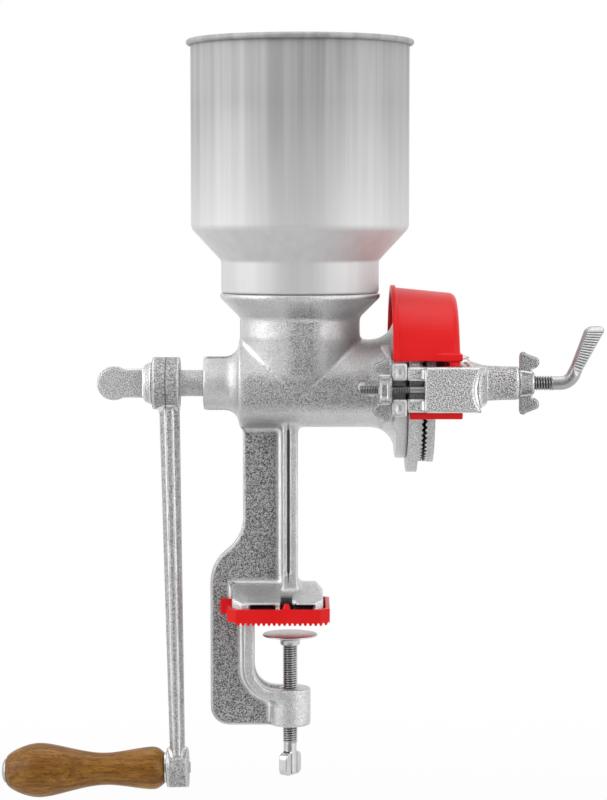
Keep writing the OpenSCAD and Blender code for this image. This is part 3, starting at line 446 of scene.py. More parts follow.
def tinned_casting(name, dark, pale, bright, grain=1.0, rough=0.38, coarse=1.0, is_body=False, seam_x=None):
    """Hot tinned casting: a grain of two greys on its faces, bright smooth fillets, and bright edges that
    are partly wear and partly a painted highlight.
    """
    n = Nodes(name)
    n.set(Metallic=1.0, IOR=1.5)
    sand = n.noise(1.15 * MM * coarse, detail=2.0, roughness=0.7)
    fine = n.noise(0.6 * MM, detail=2.0, roughness=0.6)
    cloud = n.noise(18 * MM, detail=3.0)
    worked_and_painted_light = worked_and_highlit_parts(n)
    # On the body the mask also holds painted shade bands on the barrel and throat.
    if is_body:
        worked_and_painted_light = n.either(worked_and_painted_light, smooth_parts_and_shade_bands(n))
    speckle = n.math("ADD", n.math("MULTIPLY", sand, 0.65), n.math("MULTIPLY", fine, 0.35))
    dark_grain = (dark, dark, dark * 1.02)
    pale_grain = (pale, pale, pale * 1.005)
    face = n.mix(n.ramp(speckle, (0.42, 0.0), (0.57, 1.0)), dark_grain, pale_grain)
    plain = (pale, pale, pale)
    skin = n.mix(n.ramp(speckle, (0.34, 0.7), (0.52, 0.0)), (bright, bright, bright * 1.005), plain)
    skin = n.mix(n.ramp(cloud, (0.4, 0.35), (0.65, 0.0)), skin, plain)
    tone = n.mix(worked_and_painted_light, face, skin)
    # On the body, near-black painted shade in the jaw's pockets and notches and in the rib's groove.
    if is_body:
        tone = n.mix(painted_recess_shade(n), tone, (0.05, 0.05, 0.05))
    if seam_x is not None:
        tone = n.mix(parting_line(n, seam_x), tone, (0.06, 0.06, 0.06))
    n.link(tone, n.shader.inputs["Base Color"])
    n.link(n.mix(worked_and_painted_light, (rough + 0.08,) * 3, (rough - 0.08,) * 3), n.shader.inputs["Roughness"])
    depth = n.math("MULTIPLY", speckle, n.ramp(worked_and_painted_light, (0.0, grain), (1.0, 0.25 * grain)))
    n.bump((depth, 1.5 * MM), (cloud, 1.2 * MM * grain))
    return n.material


def worked_and_highlit_parts(n):
    """Mask of any casting: 1 in its fillets, 0.8 on its edges and 0 on its faces; the bright edges are
    partly wear and partly a painted highlight.
    """
    hollow = n.attribute("hollow")
    fillets = n.ramp(hollow, (0.52, 0.0), (0.62, 1.0))
    # Convex edges take the bright skin: partly wear, partly a painted highlight.
    edges = n.ramp(hollow, (0.005, 0.0), (0.02, 0.8), (0.34, 0.8), (0.45, 0.0))
    return n.either(fillets, edges)


def parting_line(n, x):
    """Mask of the crank's upper hub: 0.85 along a line at one X, 0 elsewhere."""
    line = n.both(n.band("X", x, 0.1 * MM, 0.6 * MM), n.band("Z", shaft_z, 15 * MM, 22 * MM))
    return n.math("MULTIPLY", line, 0.85)


def smooth_parts_and_shade_bands(n):
    """Mask of the body: 0 on the grainy web, 0.8 elsewhere, and middling in painted shade bands of darker
    grain along the barrel's middle and down the throat.
    """
    web = n.both(n.band("Y", 0.0, web_half + 1.0 * MM, web_half + 2.6 * MM),
                 n.band("X", -45 * MM, 46 * MM, 50 * MM))
    raised = n.math("SUBTRACT", 0.8, n.math("MULTIPLY", 0.8, web))
    # Painted shade: bands of darker grain along the middle of the barrel and down the middle of the throat.
    barrel = n.both(n.band("Z", shaft_z - 4 * MM, 7 * MM, 14 * MM),
                    n.band("X", 14 * MM, 40 * MM, 52 * MM))
    throat = n.both(n.band("X", throat_x + 2 * MM, 5 * MM, 13 * MM),
                    n.band("Z", shaft_z + 28 * MM, 20 * MM, 28 * MM))
    return n.math("SUBTRACT", raised, n.math("MULTIPLY", n.either(barrel, throat), 0.58))


def painted_recess_shade(n):
    """Mask of painted shade on the body: 1 in the jaw's pockets and notches and along the rib's groove,
    which are painted near-black.
    """
    inset = 22 * MM
    edges = n.either(n.band("Y", inset, 4.6 * MM, 5.2 * MM), n.band("Y", -inset, 4.6 * MM, 5.2 * MM))
    pockets = n.both(n.both(edges, n.band("Z", 9 * MM, 3.6 * MM, 4.6 * MM)),
                     n.band("X", notch_x - 3 * MM, 20 * MM, 20.6 * MM))
    notches = n.both(n.both(edges, n.band("X", notch_x, 3.4 * MM, 4.2 * MM)),
                     n.band("Z", 10 * MM, 6.5 * MM, 8.5 * MM))
    groove = n.both(n.band("X", groove_x, 0.1 * MM, 0.9 * MM), n.band("Z", 77 * MM, 47 * MM, 54 * MM))
    return n.either(n.either(pockets, notches), groove)


def hopper_sheet():
    """Spun sheet with faint streaks along it, and a painted bright reflection on its lower part: duller
    towards its rim and brighter at its cone.
    """
    n = Nodes("hopper_sheet")
    n.set(Metallic=1.0, IOR=1.5, Roughness=0.68)
    foot = hopper_low.z
    height = hopper_high.z - foot
    streaks = n.noise(detail=3.0, vector=n.scaled((150, 150, 3)))
    turned = n.noise(detail=2.0, vector=n.scaled((9, 9, 900)))
    cloud = n.noise(60 * MM, detail=1.0)
    tone = n.mix(n.ramp(streaks, (0.36, 0.0), (0.62, 1.0)), (0.34, 0.34, 0.342), (0.45, 0.45, 0.453))
    tone = n.mix(n.ramp(cloud, (0.3, 0.0), (0.7, 0.4)), tone, (0.50, 0.50, 0.503))
    # Painted reflection: the base colour lightens toward the cone and neck.
    bright = n.math("MULTIPLY", n.band("Z", foot, 0.28 * height, 0.75 * height), 0.6)
    n.link(n.mix(bright, tone, (0.80, 0.80, 0.803)), n.shader.inputs["Base Color"])
    n.bump((turned, 0.002 * MM))
    return n.material


def red_plastic():
    """Moulded red plastic with a soft gloss."""
    n = Nodes("red_plastic")
    n.set(IOR=1.46, Specular_IOR_Level=0.2)
    cloud = n.noise(18 * MM, detail=2.0)
    grain = n.noise(0.5 * MM, detail=1.0)
    n.link(n.mix(cloud, (0.80, 0.008, 0.010), (0.92, 0.016, 0.018)), n.shader.inputs["Base Color"])
    n.link(n.ramp(cloud, (0.0, 0.24), (1.0, 0.40)), n.shader.inputs["Roughness"])
    n.bump((cloud, 0.05 * MM), (grain, 0.008 * MM))
    return n.material


def plated_steel(name, tone, rough):
    """Zinc plated steel with fine scratches, and painted shade that darkens its grooves and thread roots."""
    n = Nodes(name)
    n.set(Metallic=1.0, IOR=1.5)
    cloud = n.noise(6 * MM, detail=3.0)
    scratch = n.noise(detail=3.0, vector=n.scaled((900, 900, 240)))
    dull = (tone * 0.86, tone * 0.86, tone * 0.88)
    clear = (tone * 1.12, tone * 1.12, tone * 1.12)
    skin = n.mix(cloud, dull, clear)
    # Painted shade: hollows and thread roots darkened to about a sixth of the tone.
    groove = n.ramp(n.attribute("hollow"), (0.51, 0.0), (0.62, 1.0))
    n.link(n.mix(groove, skin, (tone * 0.16, tone * 0.16, tone * 0.17)), n.shader.inputs["Base Color"])
    n.link(n.ramp(scratch, (0.3, rough + 0.12), (0.7, rough - 0.06)), n.shader.inputs["Roughness"])
    n.bump((scratch, 0.03 * MM))
    return n.material


def grip_wood():
    """Turned and lacquered brown wood, its grain along the grip."""
    n = Nodes("grip_wood")
    n.set(IOR=1.48, Coat_Weight=0.12, Coat_Roughness=0.22, Specular_IOR_Level=0.25)
    fibre = n.noise(detail=5.0, roughness=0.6, vector=n.scaled((26, 420, 420)), distortion=0.25)
    rings = n.noise(detail=2.0, vector=n.scaled((5, 62, 95)), distortion=0.8)
    pores = n.noise(detail=2.0, vector=n.scaled((130, 1900, 1900)))
    bands = n.ramp(rings, (0.30, (0.22, 0.085, 0.008)), (0.46, (0.40, 0.185, 0.024)),
                   (0.56, (0.29, 0.12, 0.012)), (0.72, (0.47, 0.23, 0.036)))
    tone = n.mix(n.ramp(fibre, (0.38, 0.7), (0.62, 0.0)), bands, (0.14, 0.048, 0.005))
    tone = n.mix(n.ramp(pores, (0.32, 0.85), (0.46, 0.0)), tone, (0.07, 0.021, 0.003))
    n.link(tone, n.shader.inputs["Base Color"])
    n.link(n.ramp(fibre, (0.3, 0.5), (0.7, 0.34)), n.shader.inputs["Roughness"])
    n.bump((fibre, 0.09 * MM), (pores, 0.05 * MM))
    return n.material


BODY_IRON = tinned_casting("tinned_casting_body", dark=0.09, pale=0.52, bright=0.78, rough=0.44,
                           coarse=0.8, is_body=True)
CAST_ROUGH = tinned_casting("tinned_casting", dark=0.16, pale=0.72, bright=0.80, coarse=0.8)
CRANK_IRON = tinned_casting("tinned_casting_crank", dark=0.22, pale=0.54, bright=0.78, grain=0.7,
                            coarse=1.1, seam_x=-80.3 * MM)
CAST_SMOOTH = tinned_casting("tinned_casting_smooth", dark=0.16, pale=0.48, bright=0.80, grain=0.5,
                             coarse=0.7)
DISC_IRON = tinned_casting("disc_iron", dark=0.34, pale=0.72, bright=0.80, grain=0.4, coarse=0.6)
SHEET = hopper_sheet()
RED = red_plastic()
STEEL = plated_steel("plated_steel", tone=0.60, rough=0.30)
DARK_STEEL = plated_steel("plated_steel_worn", tone=0.42, rough=0.36)
WOOD = grip_wood()


# Casting

def casting():
    """The mill's body as one cast skin."""
    bm = bmesh.new()
    copy_of("mill_body", bm)
    bolt_boss(bm)
    piece = cast("casting", bm, voxel=0.65 * MM, rounds=8, fillet=2.2 * MM, keep=0.35, cuts=body_cuts())
    return finish_piece(piece, "frame", "tinned_casting", BODY_IRON, "mill_body")


def bolt_boss(bm):
    """Round-ended swelling on the barrel behind the end of each bridge bolt."""
    radius = 5.6 * MM
    start = 41 * MM
    length = 15 * MM
    spacing = 25 * MM
    profile = [(0, start)]
    for degrees in range(15, 91, 15):
        angle = math.radians(degrees)
        profile.append((radius * math.sin(angle), start + radius * (1 - math.cos(angle))))
    profile += [(radius, start + length), (0, start + length)]
    for side in (-1, 1):
        lathe(bm, profile, along_x(0, side * spacing, shaft_z - 0.5 * MM), 24)


def body_cuts():
    """All that is cut from the casting after its fillets are made."""
    cuts = bmesh.new()
    for side in (-1, 1):
        jaw_edge_cuts(cuts, side)
        rib_groove(cuts, side)
    ridge_bevel(cuts)
    return cuts


def jaw_edge_cuts(cuts, side):
    """Notch and two pockets in a long edge of the jaw plate."""
    half = 28 * MM
    edge_z = 14 * MM
    for x, width, depth, low, high in (
        (notch_x, 7.6 * MM, 5 * MM, -7 * MM, 4.5 * MM),
        (notch_x - 15.5 * MM, 17 * MM, 4.5 * MM, -7 * MM, -1.2 * MM),
        (notch_x + 12 * MM, 12 * MM, 4.5 * MM, -7 * MM, -1.2 * MM),
    ):
        near, far = sorted((side * (half - depth), side * (half + 2 * MM)))
        box(cuts, (x - width / 2, near, edge_z + low), (x + width / 2, far, edge_z + high))


def rib_groove(cuts, side):
    """Fine groove down the face of the column's rib."""
    half_width = 0.9 * MM
    near, far = sorted((side * 11.0 * MM, side * 18 * MM))
    box(cuts, (groove_x - half_width, near, 31 * MM), (groove_x + half_width, far, shaft_z - 29 * MM))


def ridge_bevel(cuts):
    """Bevel at the end of the jaw's ridge."""
    half = 40 * MM
    near, far = 15.5 * MM, 24 * MM
    low, high = 15.5 * MM, 27 * MM
    foot_x = 22 * MM
    prism(cuts, [(near, high), (far, high), (far, low), (foot_x, low)], -half, half, in_xz())


def yoke():
    """The bridge as one cast skin."""
    bm = bmesh.new()
    copy_of("bridge", bm)
    bow(bm)
    piece = cast("yoke", bm, voxel=0.5 * MM, rounds=5, fillet=1.2 * MM, keep=0.4, cuts=yoke_bores())
    return finish_piece(piece, "frame", "tinned_casting", CAST_ROUGH, "bridge")


def yoke_bores():
    """Room in the yoke for the auger's end, the ball and the adjusting screw."""
    wide_r = 6.65 * MM
    screw_r = 5.1 * MM
    start = bridge_low.x
    step_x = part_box("adjusting_screw")[0].x + 1.6 * MM
    end = bridge_high.x + MM
    profile = [(0, start), (wide_r, start), (wide_r, step_x), (screw_r, step_x), (screw_r, end), (0, end)]
    bores = bmesh.new()
    lathe(bores, profile, along_x(0), 64)
    return bores


def bow(bm):
    """Bow of the yoke: wide where it meets the arms, swept in to the round boss."""
    start = bridge_high.x - 33 * MM
    length = 20 * MM
    boss_r = 11.2
    flare = 34
    rise = 2.2
    rows = 14
    steps = 48
    rings = []
    for i in range(rows + 1):
        share = i / rows
        sweep = (1 - share) ** 2.2
        across = (boss_r + flare * sweep) * MM
        high = (boss_r + rise * sweep) * MM
        power = 0.35 + 0.65 * share
        ring = []
        for step in range(steps):
            angle = 2 * math.pi * step / steps
            c, s = math.cos(angle), math.sin(angle)
            ring.append(bm.verts.new((
                start + length * share,
                across * math.copysign(abs(c) ** power, c),
                shaft_z + high * math.copysign(abs(s) ** power, s),
            )))
        rings.append(ring)
    skin_rings(bm, rings)


def crank():
    """The crank as one cast skin."""
    bm = bmesh.new()
    copy_of("crank_arm", bm)
    piece = cast("crank", bm, voxel=0.5 * MM, rounds=5, fillet=1.5 * MM, keep=0.4)
    return finish_piece(piece, "crankshaft", "tinned_casting", CRANK_IRON, "crank_arm")


def small_casting(name, node, material, voxel=0.32 * MM):
    """A small cast piece, softened from its solid, on the body that has its node's name."""
    bm = bmesh.new()
    copy_of(node, bm)
    piece = cast(name, bm, voxel=voxel, rounds=5, fillet=0.5 * MM, keep=0.5)
    return finish_piece(piece, node, "tinned_casting", material, node)


# Hopper

def hopper():
    """Spun hopper: outside and inside of one sheet, rounded shoulders and a rolled rim."""
    sheet = 0.8 * MM
    wall_r = (hopper_high.x - hopper_low.x) / 2 - 3 * MM
    neck_r = 51 * MM
    rim_r = 1.9 * MM
    foot_r = 1.5 * MM
    neck_bend_r = 3.5 * MM
    shoulder_r = 7 * MM
    top = hopper_high.z - rim_r
    foot = hopper_low.z
    seat = foot + 4.1 * MM
    neck_top = seat + 20.8 * MM
    wall_low = neck_top + 21 * MM
    hole_r = 41.6 * MM
    seat_r = 45.6 * MM
    outline = [(hole_r, foot), (seat_r, seat), (neck_r - foot_r, seat)]
    outline += arc(neck_r - foot_r, seat + foot_r, foot_r, -90, 0, 5)
    outline += bend((neck_r, seat + 3 * MM), (neck_r, neck_top), (wall_r, wall_low), neck_bend_r)
    outline += bend((neck_r, neck_top), (wall_r, wall_low), (wall_r, top), shoulder_r)
    outline.append((wall_r, top - rim_r))
    rim = arc(wall_r + rim_r - sheet, top, rim_r, 210, -110, 18)
    inside = offset(outline, sheet)
    inside.reverse()
    bm = bmesh.new()
    lathe(bm, outline + rim + inside, Matrix.Translation((throat_x, 0, 0)), steps=160, closed=True)
    piece = mesh_object("hopper_shell", bm)
    shade_smooth(piece, 50)
    return finish_piece(piece, "hopper", "hopper_sheet", SHEET, "hopper")


def bend(before, corner, after, radius, count=8):
    """Points of a rounded corner between two straight runs."""
    corner = Vector(corner)
    back = (Vector(before) - corner).normalized()
    on = (Vector(after) - corner).normalized()
    half = back.angle(on) / 2
    reach = radius / math.tan(half)
    centre = corner + (back + on).normalized() * (radius / math.sin(half))
    start = corner + back * reach - centre
    end = corner + on * reach - centre
    points = []
    for i in range(count + 1):
        t = i / count
        spoke = (start * (1 - t) + end * t).normalized() * radius
        points.append(tuple(centre + spoke))
    return points


def offset(outline, distance):
    """An outline moved sideways, to the left of its run."""
    points = []
    for i, point in enumerate(outline):
        before = Vector(outline[max(i - 1, 0)])
        after = Vector(outline[min(i + 1, len(outline) - 1)])
        run = (after - before).normalized()
        points.append((point[0] - run.y * distance, point[1] + run.x * distance))
    return points


# Guard and pad

def guard():
    """The moulded hood over the discs."""
    bm = bmesh.new()
    copy_of("disc_guard", bm)
    piece = cast("guard", bm, voxel=0.45 * MM, rounds=6, keep=0.4)
    return finish_piece(piece, "frame", "red_plastic", RED, "disc_guard")


def jaw_pad():
    """The moulded pad of the jaw, with a nub that stands in each notch of the plate."""
    nub = [(0, 3 * MM), (3.0 * MM, 3 * MM), (2.8 * MM, 11 * MM), (1.5 * MM, 13.6 * MM), (0, 14 * MM)]
    nub_y = 26.4 * MM
    bm = bmesh.new()
    copy_of("table_pad", bm)
    for side in (-1, 1):
        lathe(bm, nub, Matrix.Translation((notch_x, side * nub_y, 0)), 24)
    piece = cast("jaw_pad", bm, voxel=0.4 * MM, rounds=2, keep=0.4)
    return finish_piece(piece, "frame", "red_plastic", RED, "table_pad")


# Clamp

def clamp_spindle():
    """Clamp screw: swivel tip, rolled thread and plain end."""
    tip_z = screw_high.z
    head_z = screw_low.z + thumb_head_h
    tip_r = 3.7 * MM
    tip = [(0, tip_z - 4 * MM), (tip_r, tip_z - 4 * MM), (tip_r, tip_z), (0, tip_z)]
    plain_low = head_z - 4 * MM
    plain_high = head_z + 7 * MM
    plain = [(0, plain_low), (plain_r, plain_low), (plain_r, plain_high), (0, plain_high)]
    upright = Matrix.Identity(4)
    bm = bmesh.new()
    thread(bm, 5 * MM, 1.5 * MM, head_z + 6 * MM, tip_z - 3 * MM, upright)
    lathe(bm, tip, upright, 32)
    lathe(bm, plain, upright, 40)
    piece = mesh_object("clamp_spindle", bm)
    shade_smooth(piece, 40)
    mark_hollows(piece, rounds=0, reach=thread_reach)
    return finish_piece(piece, "clamp_screw", "plated_steel", STEEL, "clamp_screw")


def clamp_thumb_head():
    """Flattened thumb head of the clamp screw, cast in one with the end of its rod."""
    foot = screw_low.z
    head_z = foot + thumb_head_h
    middle_z = head_z - thumb_head_h / 2
    half_t = 3.2 * MM
    corner_r = 4 * MM
    corner_x = 4.5 * MM
    corner_z = 3.5 * MM
    outline = []
    for angle, sx, sz in ((0, 1, 1), (90, -1, 1), (180, -1, -1), (270, 1, -1)):
        outline += arc(sx * corner_x, middle_z + sz * corner_z, corner_r, angle, angle + 90, 6)
    rod = [(0, foot + 0.4 * MM), (3.2 * MM, foot + 0.4 * MM), (plain_r, foot + 1.4 * MM),
           (plain_r, head_z + 2 * MM), (0, head_z + 2 * MM)]
    bm = bmesh.new()
    prism(bm, outline, -half_t, half_t, Matrix.Rotation(math.radians(55), 4, "Z") @ in_xz())
    lathe(bm, rod, Matrix.Identity(4), 40)
    piece = cast("clamp_thumb_head", bm, voxel=0.35 * MM, rounds=5, fillet=0.6 * MM, keep=0.5)
    return finish_piece(piece, "clamp_screw", "plated_steel", STEEL)


def clamp_dish():
    """Swivel disc: a pressed dish with a rolled edge and a hub."""
    low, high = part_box("clamp_disc")
    radius = (high.x - low.x) / 2
    top = high.z
    edge_r = 0.6 * MM
    bore_r = 3.9 * MM
    under = [(radius - 1.5 * MM, top - 1.3 * MM), (12 * MM, top - 1.9 * MM), (7.4 * MM, top - 3.4 * MM),
             (6.6 * MM, top - 4.4 * MM)]
    hub = [(6.5 * MM, low.z + 0.5 * MM), (6.0 * MM, low.z), (bore_r, low.z), (bore_r, low.z + 2.9 * MM),
           (0, low.z + 2.9 * MM)]
    outline = [(0, top)]
    outline += arc(radius - edge_r, top - edge_r, edge_r, 90, -90, 8)
    outline += smooth_curve(under, 5)
    outline += hub
    bm = bmesh.new()
    lathe(bm, outline, Matrix.Identity(4), 96)
    piece = mesh_object("clamp_dish", bm)
    shade_smooth(piece, 40)
    return finish_piece(piece, "clamp_disc", "plated_steel", STEEL, "clamp_disc")


# Grip

def grip_frame():
    """The grip's axis: +Z away from the mill, from the middle of the lower hub."""
    joint = next(j for j in frame["joints"] if j["name"] == "handle_grip_spin")
    axis = Vector(joint["axis"]).normalized()
    return Matrix.Translation(Vector(joint["pos_m"])) @ axis.to_track_quat("Z", "Y").to_matrix().to_4x4()


def grip():
    """Turned grip: a rounded collar, a waist and a swelling that ends in a slimmer nose."""
    largest = 17.7 * MM
    bore = 4.08 * MM
    length = grip_end - grip_start
    shares = [
        (0.0, 0.55), (0.012, 0.62), (0.04, 0.74), (0.08, 0.785), (0.16, 0.74), (0.25, 0.66), (0.34, 0.60),
        (0.42, 0.605), (0.50, 0.67), (0.58, 0.77), (0.66, 0.88), (0.73, 0.965), (0.79, 1.0), (0.84, 0.975),
        (0.89, 0.90), (0.94, 0.78), (0.98, 0.64), (1.0, 0.53),
    ]
    curve = smooth_curve([(radius * largest, grip_start + place * length) for place, radius in shares], 5)
    bm = bmesh.new()
    lathe(bm, [(bore, grip_start)] + curve + [(bore, grip_end)], grip_frame(), 96, closed=True)
    piece = mesh_object("grip", bm)
    shade_smooth(piece, 50)
    return finish_piece(piece, "handle_grip", "grip_wood", WOOD, "handle_grip")


def rivet():
    """Long rivet through the grip, with a domed head at its nose."""
    foot = -8.4 * MM
    shank_r = 4 * MM
    head_r = 8 * MM
    head = grip_end + 0.1 * MM
    edge = head + 0.5 * MM
    dome_h = 2.9 * MM
    profile = [(0, foot), (3.2 * MM, foot), (shank_r, foot + 0.8 * MM), (shank_r, head),
               (head_r - 0.4 * MM, head), (head_r, edge)]
    for degrees in range(10, 90, 10):
        angle = math.radians(degrees)
        profile.append((head_r * math.cos(angle), edge + dome_h * math.sin(angle)))
    profile.append((0, edge + dome_h))
    bm = bmesh.new()
    lathe(bm, profile, grip_frame(), 64)
    piece = mesh_object("rivet", bm)
    shade_smooth(piece, 40)
    return finish_piece(piece, "crankshaft", "plated_steel", DARK_STEEL, "handle_rivet")


# Screws at the discs

def bolt_places():
    """Both bridge bolts: their ends along X, the depth of their heads and their distance from the middle."""
    low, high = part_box("bridge_bolts")
    head_half = 5 * MM
    return low.x, high.x, 4.5 * MM, (high.y - low.y) / 2 - head_half


def bolt_shanks():
    """Rolled threads and plain shanks of the bridge bolts."""
    start, end, head_t, spacing = bolt_places()
    radius = 2.8 * MM
    plain = radius - 0.2 * MM
    plain_start = end - head_t - 9 * MM
    plain_end = end - 1 * MM
    shank = [(0, plain_start), (plain, plain_start), (plain, plain_end), (0, plain_end)]
    bm = bmesh.new()
    for side in (-1, 1):
        place = along_x(0, side * spacing)
        thread(bm, radius, 1.0 * MM, start, end - head_t - 8 * MM, place, depth=0.55, steps=24)
        lathe(bm, shank, place, 32)
    piece = mesh_object("bolt_shanks", bm)
    shade_smooth(piece, 40)
    mark_hollows(piece, rounds=0, reach=thread_reach)
    return finish_piece(piece, "frame", "plated_steel", DARK_STEEL, "bridge_bolts")


def bolt_heads():
    """Square heads of the bridge bolts."""
    _, end, head_t, spacing = bolt_places()
    half = 5 * MM
    bm = bmesh.new()
    for side in (-1, 1):
        y = side * spacing
        box(bm, (end - head_t, y - half, shaft_z - half), (end, y + half, shaft_z + half))
    bmesh.ops.bevel(bm, geom=bm.edges[:], offset=0.7 * MM, segments=3, affect="EDGES")
    piece = mesh_object("bolt_heads", bm)
    shade_smooth(piece, 40)
    return finish_piece(piece, "frame", "plated_steel", DARK_STEEL)


def adjuster_thread():
    """Rolled thread of the adjusting screw."""
    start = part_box("adjusting_screw")[0].x
    bm = bmesh.new()
    thread(bm, 4.9 * MM, 1.75 * MM, start, lever_x - 10 * MM, along_x(0))
    piece = mesh_object("adjuster_thread", bm)
    shade_smooth(piece, 40)
    mark_hollows(piece, rounds=0, reach=thread_reach)
    return finish_piece(piece, "adjusting_screw", "plated_steel", DARK_STEEL, "adjusting_screw")


def adjuster_lever():
    """The adjusting screw's plain stretch, which bends up into a flat lever with cross ridges."""
    bm = bmesh.new()
    skin_rings(bm, [lever_ring(bm, *stop) for stop in lever_stops()])
    piece = mesh_object("adjuster_lever", bm)
    shade_smooth(piece, 50)
    mark_hollows(piece, rounds=1, reach=thread_reach)
    return finish_piece(piece, "adjusting_screw", "plated_steel", DARK_STEEL)


def lever_stops():
    """Stops along the lever: a matrix with +Z along the run, half widths, squareness, slant and ridge."""
    lean = math.radians(25)
    bend_r = 9.3 * MM
    bend_angle = math.pi / 2 - lean
    reach = bend_r * math.tan(bend_angle / 2)
    twist = Matrix.Rotation(math.radians(28), 4, "Z")
    neck = (lever_neck_r, lever_neck_r, 0, 0, 0)
    bend_x = lever_x - reach
    for x in (lever_x - 12 * MM, bend_x):
        yield (along_x(x) @ twist, *neck)
    steps = 10
    for i in range(1, steps + 1):
        turn = bend_angle * i / steps
        place = (bend_x + bend_r * math.sin(turn), 0, shaft_z + bend_r * (1 - math.cos(turn)))
        tilt = Matrix.Rotation(math.pi / 2 - turn, 4, "Y")
        yield (Matrix.Translation(place) @ tilt @ twist, *neck)
    corner = Matrix.Translation((lever_x, 0, shaft_z)) @ Matrix.Rotation(lean, 4, "Y") @ twist
    length = 42 * MM - reach
    rows = 210
    for i in range(1, rows + 1):
        along = length * i / rows
        yield (corner @ Matrix.Translation((0, 0, reach + along)), *strip_section(along, length))


def strip_section(along, length):
    """Section of the lever's strip at a place along it: half widths, squareness, slant and ridge."""
    blend_length = 7 * MM
    end_r = 2.8 * MM
    end_slant = 5.4 / 13
    plain_end = 2.6 * MM
    ridge_pitch = 1.95 * MM
    ridge_depth = 0.42 * MM
    flat = min(1.0, along / blend_length)
    flat = flat * flat * (3 - 2 * flat)
    width = (3.5 + 3.0 * min(1.0, along / (0.96 * length))) * MM
    corner = max(0.0, (along - (length - end_r)) / end_r)
    width -= end_r * (1 - math.sqrt(max(0.0, 1 - corner * corner)))
    thick = 2.0 * MM * (1 - 0.35 * corner ** 4)
    wave = 0.5 - 0.5 * math.cos(2 * math.pi * along / ridge_pitch)
    ridge = ridge_depth * (wave ** 0.7 - 1) * flat if along < length - plain_end else 0
    across = lever_neck_r * (1 - flat) + width * flat
    half_t = lever_neck_r * (1 - flat) + thick * flat
    return across, half_t, flat, end_slant * flat * along / length, ridge


def lever_ring(bm, matrix, across, half_t, flat, slant, ridge):
    """One ring of the lever: round where flat is 0, a soft-cornered bar where it is 1."""
    steps = 40
    plain_edge = 1.1 * MM
    power = 1 - 0.72 * flat
    ring = []
    for step in range(steps):
        angle = 2 * math.pi * step / steps
        c, s = math.cos(angle), math.sin(angle)
        x = across * math.copysign(abs(c) ** power, c)
        y = math.copysign(abs(s) ** power, s)
        groove = ridge if abs(x) < across - plain_edge else 0
        point = Vector((x, y * (half_t + groove), slant * (x - across)))
        ring.append(bm.verts.new(matrix @ point))
    return ring


# Inner pieces and discs, which keep their solids

def dress(node, material):
    """A CAD node that shows as it is, with its material."""
    mesh = frame["nodes"][node].data
    mesh.materials.clear()
    mesh.materials.append(material)


# Stage

def camera():
    """The photograph's viewpoint: in front, a little above the throat, looking slightly down."""
    data = bpy.data.cameras.new("camera")
    data.sensor_fit = "VERTICAL"
    data.sensor_height = 24
    data.lens = 74.97
    data.clip_start = 0.05
    data.clip_end = 50
    view = bpy.data.objects.new("camera", data)
    view.location = (8.8 * MM, -1620 * MM, 262 * MM)
    view.rotation_euler = (math.radians(90 - 4.19), 0, 0)
    bpy.context.scene.collection.objects.link(view)
    bpy.context.scene.camera = view


def shown_ray(tree):
    """1 for rays that show the background: to the camera, in gloss and through glass."""
    path = tree.nodes.new("ShaderNodeLightPath")
    first = tree.nodes.new("ShaderNodeMath")
    first.operation = "MAXIMUM"
    tree.links.new(path.outputs["Is Camera Ray"], first.inputs[0])
    tree.links.new(path.outputs["Is Glossy Ray"], first.inputs[1])
    second = tree.nodes.new("ShaderNodeMath")
    second.operation = "MAXIMUM"
    tree.links.new(first.outputs[0], second.inputs[0])
    tree.links.new(path.outputs["Is Transmission Ray"], second.inputs[1])
    return second.outputs[0]


def bare_material(name):
    """A material with only its output node, and its node tree."""
    material = bpy.data.materials.new(name)
    material.use_nodes = True
    tree = material.node_tree
    tree.nodes.clear()
    return material, tree, tree.nodes.new("ShaderNodeOutputMaterial")


def floor():
    """A plain pale floor, well below the clamp, which fades into the backdrop away from the mill."""
    size = 6.0
    floor_z = cad_box[0][2] - 0.60
    bm = bmesh.new()
    box(bm, (-size, -size, floor_z - 0.02), (size, size, floor_z))
    piece = mesh_object("floor", bm)
    material, tree, out = bare_material("floor")
    mix = tree.nodes.new("ShaderNodeMixShader")
    diffuse = tree.nodes.new("ShaderNodeBsdfDiffuse")
    diffuse.inputs["Color"].default_value = (0.85, 0.85, 0.85, 1)
    glow = tree.nodes.new("ShaderNodeEmission")
    place = tree.nodes.new("ShaderNodeTexCoord")
    reach = tree.nodes.new("ShaderNodeVectorMath")
    reach.operation = "LENGTH"
    tree.links.new(place.outputs["Object"], reach.inputs[0])
    fade = tree.nodes.new("ShaderNodeMapRange")
    for socket, value in (("From Min", 0.9), ("From Max", 3.5), ("To Min", 0.9), ("To Max", 1.0)):
        fade.inputs[socket].default_value = value
    tree.links.new(reach.outputs["Value"], fade.inputs["Value"])
    share = tree.nodes.new("ShaderNodeMath")
    share.operation = "MULTIPLY"
    tree.links.new(fade.outputs[0], share.inputs[1])
    tree.links.new(shown_ray(tree), share.inputs[0])
    tree.links.new(share.outputs[0], mix.inputs[0])
    tree.links.new(diffuse.outputs[0], mix.inputs[1])
    tree.links.new(glow.outputs[0], mix.inputs[2])
    tree.links.new(mix.outputs[0], out.inputs["Surface"])
    piece.data.materials.append(material)


def grey_card():
    """A dim card in front of the mill, seen only in its gloss, so that bright metal doesn't glare."""
    bm = bmesh.new()
    box(bm, (-1.0, -1.12, -0.60), (0.72, -1.10, 0.85))
    piece = mesh_object("grey_card", bm)
    material, tree, out = bare_material("grey_card")
    glow = tree.nodes.new("ShaderNodeEmission")
    glow.inputs["Color"].default_value = (0.30, 0.30, 0.30, 1)
    tree.links.new(glow.outputs[0], out.inputs["Surface"])
    piece.data.materials.append(material)
    piece.visible_camera = False
    piece.visible_diffuse = False
    piece.visible_transmission = False
    piece.visible_shadow = False


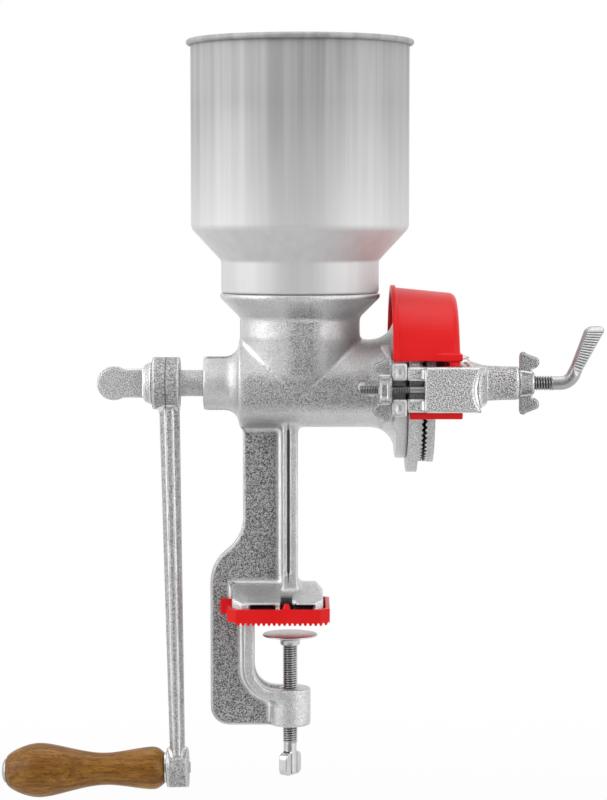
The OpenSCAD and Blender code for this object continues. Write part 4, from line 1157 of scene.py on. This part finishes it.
def world():
    """A white backdrop and an even, softer light from it."""
    scene_world = bpy.data.worlds.new("studio")
    bpy.context.scene.world = scene_world
    scene_world.use_nodes = True
    tree = scene_world.node_tree
    tree.nodes.clear()
    out = tree.nodes.new("ShaderNodeOutputWorld")
    light = tree.nodes.new("ShaderNodeBackground")
    light.inputs["Strength"].default_value = 0.5
    shown = tree.nodes.new("ShaderNodeBackground")
    shown.inputs["Color"].default_value = (1, 1, 1, 1)
    shown.inputs["Strength"].default_value = 1.0
    mix = tree.nodes.new("ShaderNodeMixShader")
    tree.links.new(shown_ray(tree), mix.inputs[0])
    tree.links.new(light.outputs[0], mix.inputs[1])
    tree.links.new(shown.outputs[0], mix.inputs[2])
    tree.links.new(mix.outputs[0], out.inputs["Surface"])


def lamp(name, place, power, width, height):
    """A soft rectangular lamp that faces the middle of the mill."""
    middle = Vector((0, 0, 0.15))
    data = bpy.data.lights.new(name, "AREA")
    data.shape = "RECTANGLE"
    data.size = width
    data.size_y = height
    data.energy = power
    light = bpy.data.objects.new(name, data)
    light.location = place
    light.rotation_euler = (middle - Vector(place)).to_track_quat("-Z", "Y").to_euler()
    bpy.context.scene.collection.objects.link(light)


# Build

casting()
yoke()
crank()
hopper()
guard()
jaw_pad()
small_casting("thumbscrew", "crank_thumbscrew", DISC_IRON, voxel=0.4 * MM)
small_casting("front_nut", "front_wing_nut", CAST_SMOOTH)
small_casting("rear_nut", "rear_wing_nut", CAST_SMOOTH)
small_casting("lock_nut", "adjusting_lock_nut", CAST_SMOOTH)
clamp_spindle()
clamp_thumb_head()
clamp_dish()
grip()
rivet()
bolt_shanks()
bolt_heads()
adjuster_thread()
adjuster_lever()
for node in ("stationary_disc", "rotating_disc"):
    dress(node, DISC_IRON)
for node in ("stationary_disc_pins", "disc_drive_pin", "thrust_ball", "handle_washer"):
    dress(node, STEEL)
dress("auger", DISC_IRON)

camera()
floor()
grey_card()
world()
lamp("key", (-2.0, -0.8, 1.0), power=30, width=2.2, height=2.4)
lamp("fill", (1.8, -1.3, 0.7), power=19, width=1.8, height=2.0)
lamp("top", (0.1, 0.3, 2.0), power=11, width=1.6, height=1.2)
bpy.context.scene.view_settings.view_transform = "Standard"
